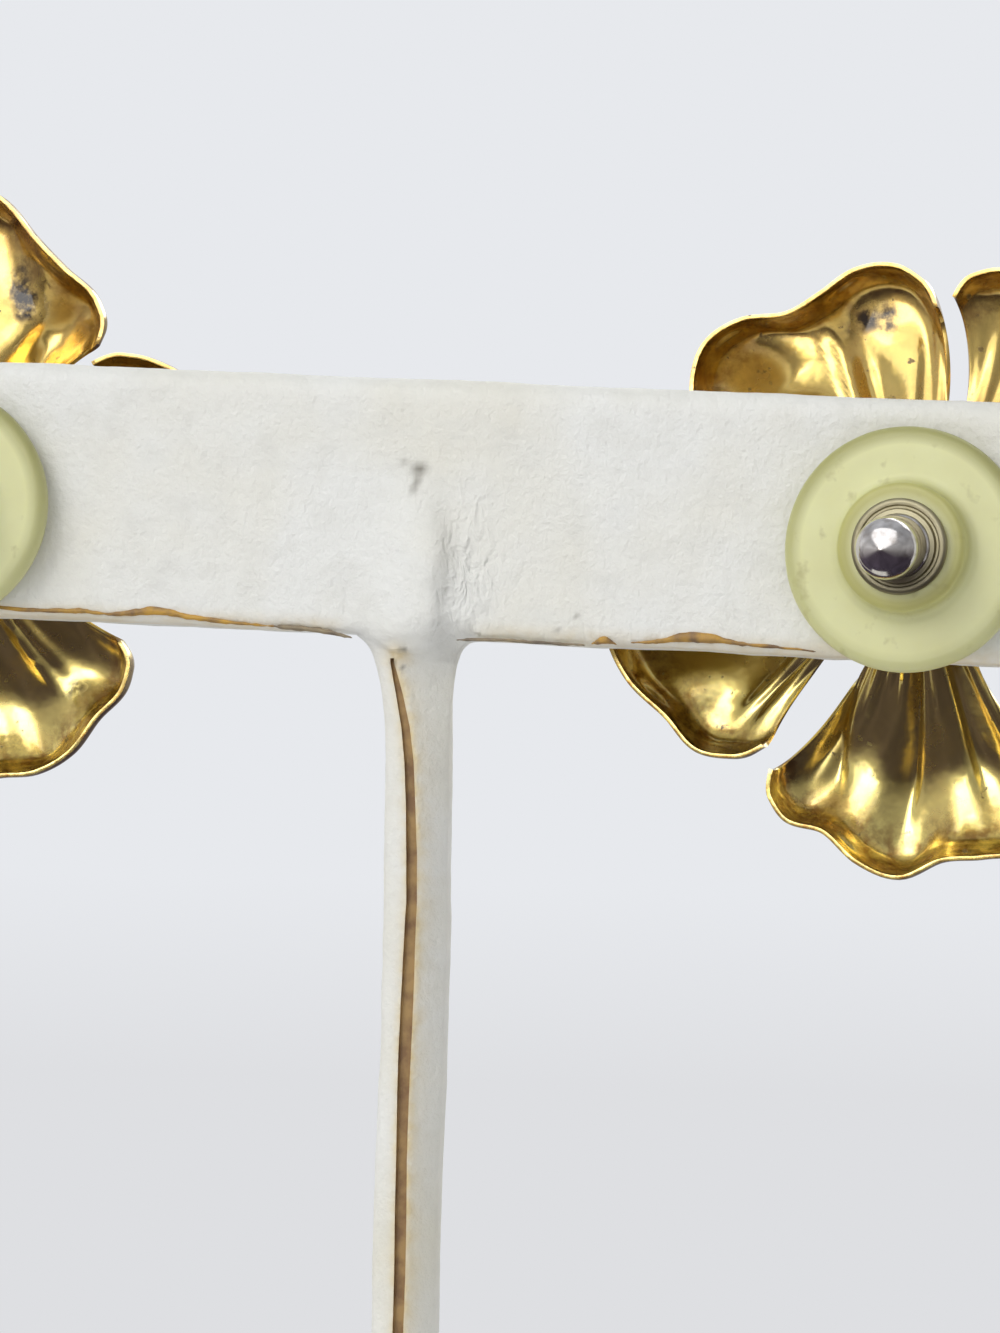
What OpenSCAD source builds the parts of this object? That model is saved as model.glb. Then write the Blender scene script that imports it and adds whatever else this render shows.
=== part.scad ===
// A pair of hollow-backed flower stud earrings on a leatherette T-bar stand.
// Millimetres, +Z up. The origin is the middle of the base's underside.
// The flowers face -Y, and the clutches are pushed on from +Y.
// Left and right are as seen from the front, where the flowers face.

/* [Stand] */
// Length of the bar that carries the earrings
bar_l = 68; // [60:1:90]
// Thickness of the bar, from front to back
bar_t = 4.3; // [3:0.1:6]
// Height of the bar
bar_h = 11.7; // [9:0.1:16]
// Rounding of the bar's long edges
bar_edge_r = 0.9; // [0.3:0.1:1.4]
// Height of the bar's middle over the table
bar_z = 72; // [60:1:120]
// Slope of the bar on its stem, in degrees
bar_tilt = -1.8; // [-3:0.1:3]
// Width of the square stem
stem_w = 2.9; // [2.4:0.1:5]
// Rounding of the stem's corners
stem_edge_r = 1; // [0.2:0.1:1.1]
// Width of the fillets between stem and bar
fillet_w = 1; // [0.5:0.1:2]
// Height of the fillets between stem and bar
fillet_h = 2.8; // [1:0.1:4]
// Width of the base
base_w = 50; // [40:1:80]
// Depth of the base, from front to back
base_d = 38; // [30:1:60]
// Height of the base
base_h = 5; // [4:0.5:12]
// Rounding of the base's upright corners
base_corner_r = 5; // [1:0.5:10]

/* [Earrings] */
// Distance from the stem's middle to each earring's post
post_x = 22.7; // [18:0.1:28]
// How far the posts sit below the bar's middle
post_drop = 1; // [0:0.1:2]
// Diameter of the posts
post_d = 0.8; // [0.7:0.05:1]
// Length of a post behind the bar
post_reach = 5; // [4:0.1:6]
// Diameter of the holes in the bar
hole_d = 1.8; // [1.2:0.1:2.4]
// Thickness of the flowers' sheet metal
sheet_t = 0.6; // [0.5:0.05:0.9]
// Radius of the flat hub where the petals join
hub_r = 3.2; // [2.8:0.1:4]
// Depth of the flutes that run out from the hub
flute_depth = 0.3; // [0:0.05:0.5]
// Number of flutes across a petal
flutes = 4.5; // [2:0.5:6]
// How far the petals' side edges turn back
side_turn = 0.55; // [0:0.05:0.8]
// Height of the lobes' bowls over the rest of a petal
lobe_depth = 0.5; // [0:0.05:0.8]
// Radius of the domed centre on the front
centre_r = 2.7; // [2:0.1:3]
// Height of the domed centre
centre_h = 2.2; // [1:0.1:3]

/* [Clutches] */
// Diameter of the soft disc
disc_d = 11; // [8:0.1:12]
// Thickness of the soft disc
disc_t = 1.1; // [0.8:0.1:2]
// Diameter of the soft hub on the disc
boss_d = 5.8; // [5:0.1:7]
// Height of the soft hub over the disc
boss_h = 1.2; // [0.5:0.1:2]
// Diameter of the bullet's flange
flange_d = 4.85; // [4:0.05:5.5]
// Diameter of the bullet's dome
bullet_d = 2.8; // [2.4:0.1:3.4]
// Length of the bullet beyond its flange
bullet_l = 3.4; // [2.5:0.1:4]

/* [Hidden] */
$fn = 48;

// Gap between pieces that rest on each other
seat = 0.3;
// Gap all round a piece that is held in another
fit = 0.04;
// Overlap that makes two forms of one solid meet
lap = 0.2;

// Turn between the points of a fillet's edge, in degrees
fillet_step = 10;

// Tenons that join the stem to the base and to the bar
tenon_r = 1.1;
tenon_l = 3;

// Places along Y, from the front to the back
bar_front = -bar_t / 2;
bar_back = bar_t / 2;
disc_y = bar_back + seat;
boss_y = disc_y + disc_t;
flange_y = boss_y + boss_h + fit;
flange_t = 0.45;
disc_edge_r = disc_t / 2 - 0.05;
boss_edge_r = 0.5;
boss_rim_r = 0.3;
sleeve_r = 1.35;
post_tip_y = bar_back + post_reach;
bullet_tip_y = flange_y + flange_t + bullet_l;
bore_end_y = post_tip_y + seat;

// Petals of the flower on the left, seen from behind, in degrees from +X turned to -X.
// Columns: edges at the hub, edges at the rim, and the outer radius at nine stations between them.
LEFT_PETALS = [
    [84.5, 150, 91, 156, [12.3, 13.5, 13.7, 13.2, 13.1, 14.1, 14.4, 13.5, 11.8]],
    [160, 226, 160, 232.5, [12.6, 13.9, 14.6, 14.9, 15.2, 14.6, 13.4, 13.4, 12]],
    [243.5, 298, 237.3, 300, [12.9, 13.7, 13.5, 14.4, 14.8, 14, 14.1, 14.2, 12.8]],
    [310, 364, 304.5, 371.5, [12.6, 13.9, 14.3, 13.9, 14.6, 14.2, 14.4, 13.8, 12.4]],
    [22, 77, 16, 87, [12.4, 14, 13.9, 14.3, 14.6, 13.8, 13.3, 13.6, 12.8]]
];
RIGHT_PETALS = [
    [61, 115, 51, 120, [11.2, 12.1, 12.5, 13.4, 14.9, 15.2, 14.4, 13.6, 12.4]],
    [130, 180, 124.5, 185.5, [12.3, 13.7, 14.2, 13.6, 14.1, 14.4, 14, 13.9, 12.5]],
    [196, 247, 190, 253.5, [12.4, 13.8, 14.4, 14, 14.6, 14.2, 14.5, 13.7, 12.6]],
    [264, 320, 258, 325.5, [12.2, 13.2, 13.4, 13, 13.3, 13.1, 12.4, 12.2, 11.4]],
    [-21, 46, -25, 48, [10.6, 12.8, 14, 13.8, 14.4, 13.9, 13, 11.8, 10.4]]
];
// Offset of each flower's middle from its post, towards the stem and up
LEFT_SHIFT = [0.2, 0.1];
RIGHT_SHIFT = [-1, 0.3];

// A petal's section from hub to rim.
// Columns: share of the way to the rim, and depth in front of the bar.
SECTION = [
    [0, 0.6], [0.16, 1.1], [0.34, 1.9], [0.52, 2.7], [0.68, 3.3],
    [0.81, 3.6], [0.91, 3.5], [0.97, 3], [1, 2.2], [0.975, 1.5]
];
SPANS = 20;
ROWS = len(SECTION);
WALL_ROW = 7;

// Value of a smooth curve through a list's entries, at u from 0 for the first to 1 for the last
function along(list, u) =
    let (
        n = len(list),
        x = u * (n - 1),
        i = min(floor(x), n - 2),
        f = x - i,
        a = list[max(i - 1, 0)],
        b = list[i],
        c = list[i + 1],
        d = list[min(i + 2, n - 1)]
    )
    b + f * ((c - a) / 2 + f * (a - 2.5 * b + 2 * c - d / 2 + f * (3 * (b - c) + d - a) / 2));

// Flutes fade from the hub to the lobes, and lobes grow towards the rim
function flute(u, t) = flute_depth * cos(360 * flutes * u) * min(1, 4 * t) * max(0, 1 - t * t);
function lobe(u, t) = lobe_depth * t * t * sin(180 * u) * cos(360 * (u - 0.5) * 2.5);

// How far the side edges turn back at u, steep only close to the edges
function turned(u) = pow(abs(2 * u - 1), 7);

// Middle of the sheet at a station u and a row of the section: radius, depth and angle
function mid_point(petal, u, row) =
    let (
        t = SECTION[row][0],
        rim = along(petal[4], u),
        spread = t * t,
        from = petal[0] + (petal[2] - petal[0]) * spread,
        to = petal[1] + (petal[3] - petal[1]) * spread,
        open = row > WALL_ROW ? 0 : 1,
        depth = SECTION[row][1] + open * (flute(u, t) + lobe(u, t)),
        least = min(depth, SECTION[ROWS - 1][1]),
        back = side_turn * turned(u) * min(1, 3 * t)
    )
    [hub_r + (rim - sheet_t / 2 - hub_r) * t, depth + (least - depth) * back, from + (to - from) * u];

// Direction across the sheet at a row, from its neighbours along the section
function across(petal, u, row) =
    let (
        a = mid_point(petal, u, max(row - 1, 0)),
        b = mid_point(petal, u, min(row + 1, ROWS - 1)),
        run = [b[0] - a[0], b[1] - a[1]],
        size = norm(run)
    )
    row == 0 ? [0, 1] : [-run[1] / size, run[0] / size];

// A point on one face of the sheet: side is 1 for the front face and -1 for the back
function sheet_point(petal, u, row, side) =
    let (
        m = mid_point(petal, u, row),
        n = across(petal, u, row),
        r = m[0] + side * n[0] * sheet_t / 2,
        d = m[1] + side * n[1] * sheet_t / 2
    )
    [-r * cos(m[2]), bar_front - d, r * sin(m[2])];

// All petals and the hub as one closed sheet of two faces
module petal_sheet(petals) {
    count = len(petals);
    across_n = SPANS + 1;
    face_n = count * across_n * ROWS;
    points = concat(
        [for (side = [1, -1], p = [0:count - 1], i = [0:SPANS], row = [0:ROWS - 1])
            sheet_point(petals[p], i / SPANS, row, side)],
        [[0, bar_front - SECTION[0][1] - sheet_t / 2, 0],
         [0, bar_front - SECTION[0][1] + sheet_t / 2, 0]]
    );
    front = 0;
    back = face_n;
    function at(face, p, i, row) = face + ((p % count) * across_n + i) * ROWS + row;
    sheets = [for (p = [0:count - 1], i = [0:SPANS - 1], row = [0:ROWS - 2]) each [
        [at(front, p, i, row), at(front, p, i + 1, row + 1), at(front, p, i + 1, row)],
        [at(front, p, i, row), at(front, p, i, row + 1), at(front, p, i + 1, row + 1)],
        [at(back, p, i, row), at(back, p, i + 1, row), at(back, p, i + 1, row + 1)],
        [at(back, p, i, row), at(back, p, i + 1, row + 1), at(back, p, i, row + 1)]
    ]];
    rims = [for (p = [0:count - 1], i = [0:SPANS - 1]) each [
        [at(front, p, i, ROWS - 1), at(back, p, i + 1, ROWS - 1), at(front, p, i + 1, ROWS - 1)],
        [at(front, p, i, ROWS - 1), at(back, p, i, ROWS - 1), at(back, p, i + 1, ROWS - 1)]
    ]];
    sides = [for (p = [0:count - 1], row = [0:ROWS - 2]) each [
        [at(front, p, 0, row), at(back, p, 0, row + 1), at(front, p, 0, row + 1)],
        [at(front, p, 0, row), at(back, p, 0, row), at(back, p, 0, row + 1)],
        [at(front, p, SPANS, row), at(front, p, SPANS, row + 1), at(back, p, SPANS, row + 1)],
        [at(front, p, SPANS, row), at(back, p, SPANS, row + 1), at(back, p, SPANS, row)]
    ]];
    hub = [for (p = [0:count - 1], i = [0:SPANS - 1]) each [
        [2 * face_n, at(front, p, i, 0), at(front, p, i + 1, 0)],
        [2 * face_n + 1, at(back, p, i + 1, 0), at(back, p, i, 0)]
    ]];
    between = [for (p = [0:count - 1]) each [
        [2 * face_n, at(front, p, SPANS, 0), at(front, p + 1, 0, 0)],
        [2 * face_n + 1, at(back, p + 1, 0, 0), at(back, p, SPANS, 0)],
        [at(front, p, SPANS, 0), at(back, p + 1, 0, 0), at(front, p + 1, 0, 0)],
        [at(front, p, SPANS, 0), at(back, p, SPANS, 0), at(back, p + 1, 0, 0)]
    ]];
    polyhedron(points = points, faces = concat(sheets, rims, sides, hub, between), convexity = 10);
}

// Turns a profile drawn as radius and place along Y into a solid round the Y axis
module turned_about_y() {
    rotate([-90, 0, 0])
        rotate_extrude()
            children();
}

// The flower's domed centre, the solder pad behind it and the post with its rounded tip
module centre_and_post() {
    front_y = bar_front - SECTION[0][1] - sheet_t / 2;
    back_y = front_y + sheet_t;
    dome_r = (centre_r * centre_r + centre_h * centre_h) / (2 * centre_h);
    tip_r = post_d / 2;
    turned_about_y() {
        intersection() {
            translate([0, front_y + lap - centre_h + dome_r])
                circle(dome_r);
            translate([0, front_y + lap - centre_h])
                square([centre_r, centre_h]);
        }
        translate([0, front_y + lap / 2])
            square([tip_r, post_tip_y - tip_r - front_y - lap / 2]);
        intersection() {
            translate([0, post_tip_y - tip_r])
                circle(tip_r);
            translate([0, post_tip_y - 2 * tip_r])
                square([tip_r, 2 * tip_r]);
        }
        translate([0, back_y - lap])
            square([tip_r + 0.3, lap + seat / 3]);
    }
}

module rounded_square(w, h, r) {
    square([w - 2 * r, h], center = true);
    square([w, h - 2 * r], center = true);
    for (x = [-1, 1], y = [-1, 1])
        translate([x * (w / 2 - r), y * (h / 2 - r)])
            circle(r);
}

// Places its children in the frame of the sloping bar
module on_bar() {
    translate([0, 0, bar_z])
        rotate([0, bar_tilt, 0])
            children();
}

// Places its children on the axis of one earring: side is -1 for left and 1 for right
module on_post(side) {
    on_bar()
        translate([side * post_x, 0, -post_drop])
            children();
}

module base() {
    color("whitesmoke")
        difference() {
            translate([0, 0, base_h / 2])
                linear_extrude(base_h, center = true)
                    rounded_square(base_w, base_d, base_corner_r);
            translate([0, 0, base_h - tenon_l - seat])
                cylinder(h = tenon_l + seat + 1, r = tenon_r + fit);
        }
}

// A concave fillet on one side of the stem's top, with a quarter of an ellipse as its edge
module fillet(side) {
    top = bar_z - bar_h / 2;
    curve = [for (a = [0:fillet_step:90]) [fillet_w * (1 - cos(a)), -fillet_h * (1 - sin(a))]];
    outline = concat([[-lap, -fillet_h]], curve, [[fillet_w, lap], [-lap, lap]]);
    translate([side * stem_w / 2, 0, top])
        rotate([90, 0, 0])
            linear_extrude(stem_w - 2 * stem_edge_r, center = true)
                polygon([for (p = outline) [side * p[0], p[1]]]);
}

module stem() {
    top = bar_z - bar_h / 2;
    color("whitesmoke") {
        difference() {
            union() {
                translate([0, 0, base_h])
                    linear_extrude(top - base_h + lap)
                        rounded_square(stem_w, stem_w, stem_edge_r);
                fillet(1);
                fillet(-1);
            }
            on_bar()
                translate([-bar_l / 2, -bar_t, -bar_h / 2])
                    cube([bar_l, 2 * bar_t, bar_h]);
        }
        translate([0, 0, base_h - tenon_l])
            cylinder(h = tenon_l + lap, r = tenon_r);
        translate([0, 0, top - stem_w])
            cylinder(h = stem_w + tenon_l, r = tenon_r);
    }
}

module bar() {
    color("whitesmoke")
        difference() {
            on_bar()
                rotate([90, 0, 90])
                    linear_extrude(bar_l, center = true)
                        rounded_square(bar_t, bar_h, bar_edge_r);
            for (side = [-1, 1])
                on_post(side)
                    rotate([90, 0, 0])
                        cylinder(h = 2 * bar_t, d = hole_d, center = true);
            translate([0, 0, bar_z - bar_h / 2 - 1])
                cylinder(h = tenon_l + 1 + seat, r = tenon_r + fit);
        }
}

module flower(side, petals, shift) {
    color("goldenrod")
        on_post(side) {
            translate([-side * shift[0], 0, shift[1]])
                petal_sheet(petals);
            centre_and_post();
        }
}

// The soft disc with its hub, and a hole that the bullet's sleeve fills
module clutch_disc(side) {
    color("palegoldenrod")
        on_post(side)
            difference() {
                turned_about_y() {
                    translate([0, disc_y])
                        square([disc_d / 2 - disc_edge_r, disc_t]);
                    translate([0, disc_y + disc_edge_r])
                        square([disc_d / 2, disc_t - 2 * disc_edge_r]);
                    for (y = [disc_y + disc_edge_r, boss_y - disc_edge_r])
                        translate([disc_d / 2 - disc_edge_r, y])
                            circle(disc_edge_r);
                    translate([0, boss_y - lap])
                        square([boss_d / 2, boss_h + lap - boss_rim_r]);
                    translate([0, boss_y])
                        square([boss_d / 2 - boss_rim_r, boss_h]);
                    translate([boss_d / 2 - boss_rim_r, boss_y + boss_h - boss_rim_r])
                        circle(boss_rim_r);
                    difference() {
                        translate([0, boss_y - lap])
                            square([boss_d / 2 + boss_edge_r, boss_edge_r + lap]);
                        translate([boss_d / 2 + boss_edge_r, boss_y + boss_edge_r])
                            circle(boss_edge_r);
                    }
                }
                translate([0, disc_y - 1, 0])
                    rotate([-90, 0, 0])
                        cylinder(h = disc_t + boss_h + 2, r = sleeve_r + fit);
            }
}

// The metal bullet: a sleeve inside the disc, a flange on its hub and a domed end
module clutch_bullet(side) {
    dome_r = bullet_d / 2;
    color("silver")
        on_post(side)
            difference() {
                turned_about_y() {
                    translate([0, disc_y + seat])
                        square([sleeve_r, flange_y - disc_y - seat + lap]);
                    translate([0, flange_y])
                        square([flange_d / 2, flange_t]);
                    translate([0, flange_y + flange_t - lap])
                        square([dome_r, bullet_l - dome_r + lap]);
                    intersection() {
                        translate([0, bullet_tip_y - dome_r])
                            circle(dome_r);
                        translate([0, bullet_tip_y - 2 * dome_r])
                            square([dome_r, 2 * dome_r]);
                    }
                }
                translate([0, disc_y - 1, 0])
                    rotate([-90, 0, 0])
                        cylinder(h = bore_end_y - disc_y + 1, r = post_d / 2 + fit);
            }
}

base();
stem();
bar();
flower(-1, LEFT_PETALS, LEFT_SHIFT);  // flower_left
flower(1, RIGHT_PETALS, RIGHT_SHIFT);  // flower_right
clutch_disc(-1);  // clutch_disc_left
clutch_disc(1);  // clutch_disc_right
clutch_bullet(-1);  // clutch_bullet_left
clutch_bullet(1);  // clutch_bullet_right
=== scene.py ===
"""A pair of hollow-backed flower stud earrings, pinned through a leatherette T-bar stand."""

import functools
import math

import bmesh
import bpy
from mathutils import Matrix, Vector


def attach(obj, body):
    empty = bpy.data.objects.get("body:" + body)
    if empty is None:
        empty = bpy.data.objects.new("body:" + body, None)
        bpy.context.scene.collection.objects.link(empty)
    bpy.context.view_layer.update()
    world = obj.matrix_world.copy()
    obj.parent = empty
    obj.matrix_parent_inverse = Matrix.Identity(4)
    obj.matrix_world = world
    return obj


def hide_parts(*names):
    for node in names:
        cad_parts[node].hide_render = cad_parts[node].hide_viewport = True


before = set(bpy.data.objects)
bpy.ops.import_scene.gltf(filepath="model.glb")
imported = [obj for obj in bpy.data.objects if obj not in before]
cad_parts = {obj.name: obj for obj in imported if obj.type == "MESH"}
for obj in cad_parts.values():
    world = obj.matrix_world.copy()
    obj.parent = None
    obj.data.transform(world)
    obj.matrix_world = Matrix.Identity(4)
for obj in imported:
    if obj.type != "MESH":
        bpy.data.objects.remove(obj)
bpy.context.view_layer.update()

MM = 0.001
TOUCH = 0.01 * MM
SAME_PLACE = 0.001 * MM

# An edge or a normal follows an axis above the first of these shares, and crosses it below the second.
ALONG = 0.9
ACROSS = 0.1

# Stand
BAR_L = 68 * MM
BAR_T = 4.3 * MM
BAR_H = 11.7 * MM
BAR_Z = 72 * MM
BAR_TILT = math.radians(-1.8)
BAR_TOP_R = 0.95 * MM
BAR_LOW_R = 0.45 * MM
BAR_END_R = 0.7 * MM
STEM_W = 2.9 * MM
STEM_EDGE_R = 0.95 * MM
BASE_W = 50 * MM
BASE_D = 38 * MM
BASE_H = 5 * MM
BASE_CORNER_R = 5 * MM
BASE_EDGE_R = 1.1 * MM
BASE_FOOT_R = 0.4 * MM
STEM_TOP = BAR_Z - BAR_H / 2

# Where the stem swells into the bar. Columns: side along X, width, height of the swelling.
STEM_FLARES = {1: (1.4 * MM, 6 * MM), -1: (0.9 * MM, 2.6 * MM)}
STEM_FLARE_DEEP = 2.6 * MM
FLARE_STEPS = 16
FLARE_INSET = 0.02 * MM

# Cells of the wraps' meshes, and the wraps' unevenness: size and height in mm, and detail
WRAP_CELL = 0.2 * MM
BASE_CELL = 0.5 * MM
WRAP_STRETCH = (5, 0.16, 2)
WRAP_PUCKERS = (1.3, 0.07, 3)
BASE_STRETCH = (9, 0.12, 2)

# Earrings
POST_X = 22.7 * MM
POST_DROP = 1 * MM
POST_D = 0.8 * MM
POST_REACH = 5 * MM
HOLE_D = 1.8 * MM
HUB_R = 3.2 * MM
CENTRE_R = 2.7 * MM
CENTRE_H = 2.2 * MM

# The domed centre's rim: how far it is sunk in the hub's sheet, and drawn in behind
CENTRE_SUNK = 0.1 * MM
CENTRE_DRAWN_IN = 0.02 * MM

# The solder pad: its radius, the share of it left past its chamfer, the chamfer's height, the gap to the
# bar, and its land and fillet round the post
PAD_R = 1.1 * MM
PAD_TAPER = 0.9
PAD_CHAMFER = 0.12 * MM
PAD_GAP = 0.12 * MM
PAD_LAND = 0.25 * MM
PAD_FILLET = 0.2 * MM

# The petals' sheet: its thickness, the share of it left at the edges, the bands along the rim and the
# sides where it thins, as shares of the petal, and the radius of its lip
SHEET_T = 0.3 * MM
EDGE_SHARE = 0.6
RIM_THINS = (0.85, 1)
SIDE_THINS = (0.94, 1)
LIP_R = 0.06 * MM

# Clutches
DISC_D = 11 * MM
DISC_T = 1.1 * MM
DISC_EDGE_R = 0.5 * MM
BOSS_D = 5.8 * MM
BOSS_H = 1.2 * MM
BOSS_RIM_R = 0.3 * MM
BOSS_FOOT_R = 0.5 * MM
BOSS_FOOT_LAND = 0.7 * MM
FLANGE_D = 4.3 * MM
FLANGE_T = 0.45 * MM
FLANGE_FRONT_R = 0.15 * MM
FLANGE_BACK_R = 0.2 * MM
BULLET_D = 2.8 * MM
BULLET_L = 3.4 * MM
SLEEVE_R = 1.35 * MM
SEAT = 0.3 * MM
FIT = 0.04 * MM

# A disc's unevenness: size and height in mm, and detail
DISC_FLOW = (3, 0.05, 2)

# A bullet's rounded shoulder, the slope of its end in degrees, and how far its tip leans off the post's
# axis on each side, along X and Z
NOSE_R = 1.1 * MM
NOSE_SLOPE = 22
BARREL_LEAN = {1: (-0.1 * MM, 0.12 * MM), -1: (0.22 * MM, -0.38 * MM)}

# Groove in the flange's back, steps at the barrel's foot, and the tip. Columns: radius past the flange's,
# the barrel's or the axis, and place along Y past the flange's back or the tip, in mm.
FLANGE_GROOVE = ((-0.3, -0.02), (-0.36, -0.1))
BARREL_FOOT = ((0.3, -0.1), (0.24, 0.14), (0.06, 0.18), (-0.04, 0.36), (0, 0.8))
NOSE_TIP = ((0.12, -0.03), (0, 0))

# Places along Y, from the front to the back
BAR_FRONT = -BAR_T / 2
BAR_BACK = BAR_T / 2
DISC_Y = BAR_BACK + SEAT
BOSS_Y = DISC_Y + DISC_T
FLANGE_Y = BOSS_Y + BOSS_H + FIT
POST_TIP_Y = BAR_BACK + POST_REACH
BULLET_TIP_Y = FLANGE_Y + FLANGE_T + BULLET_L

# Petals seen from behind, in degrees from -X turned to +Z.
# Columns: edges at the hub, edges at the rim, and the outer radius in mm at nine stations between them.
LEFT_PETALS = [
    (84.5, 150, 91, 156, (12.3, 13.5, 13.7, 13.2, 13.1, 14.1, 14.4, 13.5, 11.8)),
    (160, 226, 160, 232.5, (12.6, 13.9, 14.6, 14.9, 15.2, 14.9, 14.1, 13.8, 12.3)),
    (243.5, 298, 237.3, 300, (12.9, 13.7, 13.5, 14.4, 14.8, 14, 14.1, 14.2, 12.8)),
    (310, 364, 304.5, 371.5, (12.6, 13.9, 14.3, 13.9, 14.6, 14.2, 14.4, 13.8, 12.4)),
    (22, 77, 16, 87, (12.4, 14, 13.9, 14.3, 14.6, 13.8, 13.3, 13.6, 12.8)),
]
RIGHT_PETALS = [
    (61, 115, 51, 120, (11.2, 12.1, 12.5, 13.4, 14.9, 15.2, 14.4, 13.6, 12.4)),
    (130, 180, 124.5, 185.5, (12.3, 13.7, 14.2, 13.6, 14.1, 14.4, 14, 13.9, 12.5)),
    (196, 247, 190, 253.5, (12.4, 13.8, 14.4, 14, 14.6, 14.2, 14.5, 13.7, 12.6)),
    (264, 320, 258, 325.5, (12.2, 13.2, 13.4, 13, 13.3, 13.1, 12.4, 12.2, 11.4)),
    (-21, 46, -25, 48, (10.6, 12.8, 14, 13.8, 14.4, 13.9, 13, 11.8, 10.4)),
]

# Offset of each flower's middle from its post, towards the stem and up
LEFT_SHIFT = (0.2 * MM, 0.1 * MM)
RIGHT_SHIFT = (-1 * MM, 0.3 * MM)

# A petal's section from hub to rim: share of the way to the rim, and depth in mm in front of the bar
SECTION_SHARE = (0, 0.16, 0.34, 0.52, 0.68, 0.81, 0.91, 0.962, 0.995, 1)
SECTION_DEPTH = (0.6, 1.1, 1.9, 2.7, 3.3, 3.6, 3.5, 3, 2.2, 1.5)
WALL_ROW = 7
HUB_Y = BAR_FRONT - SECTION_DEPTH[0] * MM

# How each petal's outer part curls back towards the bar.
# Columns: how far in mm, and the shares of the way to the rim where that starts and ends.
LEFT_CURL = (
    (0.2, 0.55, 0.95), (1, 0.45, 0.85), (0.9, 0.55, 0.95), (0.8, 0.55, 0.95), (0.3, 0.55, 0.95),
)
RIGHT_CURL = (
    (0.15, 0.55, 0.95), (0.4, 0.55, 0.95), (0.8, 0.55, 0.95), (0.85, 0.55, 0.95), (0.3, 0.55, 0.95),
)

# Round corners: radius, and how sharply they set in
CORNER_R = 0.8 * MM
CORNER_POWER = 2.5

# A petal's own lobes: depth in mm and waves across it
LOBE_DEPTH = 0.5
LOBE_WAVES = 2.5

# Sides turned back to the rim's depth: by what share, how close to the side, and how soon past the hub
SIDE_TURN = 0.55
SIDE_POWER = 7
SIDE_START = 3

# Flutes pressed into a petal, each a crest or a hollow seen from its back, with a steep and a gentle side.
# Each fades out to its sides by a power, and is left off past a few times its reach.
# Columns: share across the petal at the hub and at the rim, reach of its side towards the petal's start
# and of its side towards the petal's end as shares across, height in mm towards the back, less than
# nothing for a hollow, and the shares of the way to the rim where it is full, starts to fade and ends.
BROAD_LOBES = (
    (0.06, 0.05, 0.02, 0.03, 0.16, 0.1, 0.58, 0.84),
    (0.26, 0.1, 0.03, 0.11, 0.34, 0.1, 0.56, 0.82),
    (0.44, 0.34, 0.025, 0.07, 0.28, 0.1, 0.54, 0.8),
    (0.69, 0.43, 0.03, 0.1, 0.44, 0.1, 0.75, 1.01),
    (0.8, 0.7, 0.05, 0.08, 0.16, 0.1, 0.33, 0.59),
    (0.92, 0.9, 0.04, 0.04, 0.14, 0.1, 0.38, 0.64),
    (0.86, 0.76, 0.3, 0.38, -0.9, 0.25, 0.4, 0.66),
    (0.86, 0.76, 0.3, 0.38, -0.9, 0.25, 0.65, 0.91),
)
LEANING_FAN = (
    (0.3, 0.28, 0.05, 0.06, 0.2, 0.1, 0.38, 0.64),
    (0.45, 0.5, 0.1, 0.05, -0.4, 0.2, 0.6, 0.94),
    (0.72, 0.7, 0.2, 0.17, -0.6, 0.2, 0.55, 0.97),
    (0.9, 0.895, 0.02, 0.02, 0.26, 0.1, 0.62, 0.88),
    (0.965, 0.955, 0.015, 0.02, 0.26, 0.1, 0.7, 0.96),
)
DEEP_FAN = (
    (0.02, 0.08, 0.04, 0.025, -0.4, 0.3, 0.6, 0.92),
    (-0.17, 0.28, 0.06, 0.035, -0.5, 0.15, 0.55, 0.93),
    (0.14, 0.16, 0.03, 0.03, 0.2, 0.05, 0.28, 0.54),
    (0.24, 0.27, 0.02, 0.03, 0.16, 0.05, 0.14, 0.4),
    (0.36, 0.4, 0.02, 0.03, 0.2, 0.05, 0.2, 0.46),
    (0.51, 0.45, 0.075, 0.03, -0.5, 0.2, 0.55, 0.92),
    (0.63, 0.62, 0.02, 0.04, 0.2, 0.05, 0.2, 0.46),
    (0.76, 0.79, 0.035, 0.15, -0.55, 0.1, 0.5, 0.91),
    (0.95, 0.95, 0.03, 0.03, 0.2, 0.1, 0.63, 0.89),
)
PLAIN_FAN = (
    (0.08, 0.06, 0.03, 0.06, 0.22, 0.1, 0.53, 0.79),
    (0.24, 0.22, 0.04, 0.09, 0.3, 0.08, 0.5, 0.76),
    (0.42, 0.41, 0.04, 0.09, 0.32, 0.08, 0.56, 0.82),
    (0.6, 0.6, 0.05, 0.08, 0.28, 0.08, 0.48, 0.74),
    (0.76, 0.77, 0.04, 0.06, 0.3, 0.08, 0.54, 0.8),
    (0.91, 0.915, 0.03, 0.04, 0.26, 0.1, 0.58, 0.84),
)
SCOOPED_FAN = (
    (0.1, 0.1, 0.05, 0.03, -0.4, 0.2, 0.6, 0.92),
    (0.3, 0.29, 0.07, 0.04, -0.45, 0.15, 0.55, 0.91),
    (0.4, 0.4, 0.02, 0.03, 0.16, 0.05, 0.18, 0.44),
    (0.5, 0.51, 0.08, 0.03, -0.5, 0.2, 0.55, 0.92),
    (0.6, 0.61, 0.02, 0.03, 0.16, 0.05, 0.18, 0.44),
    (0.7, 0.72, 0.03, 0.08, -0.45, 0.15, 0.55, 0.91),
    (0.88, 0.9, 0.03, 0.05, -0.4, 0.2, 0.6, 0.92),
)
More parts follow.
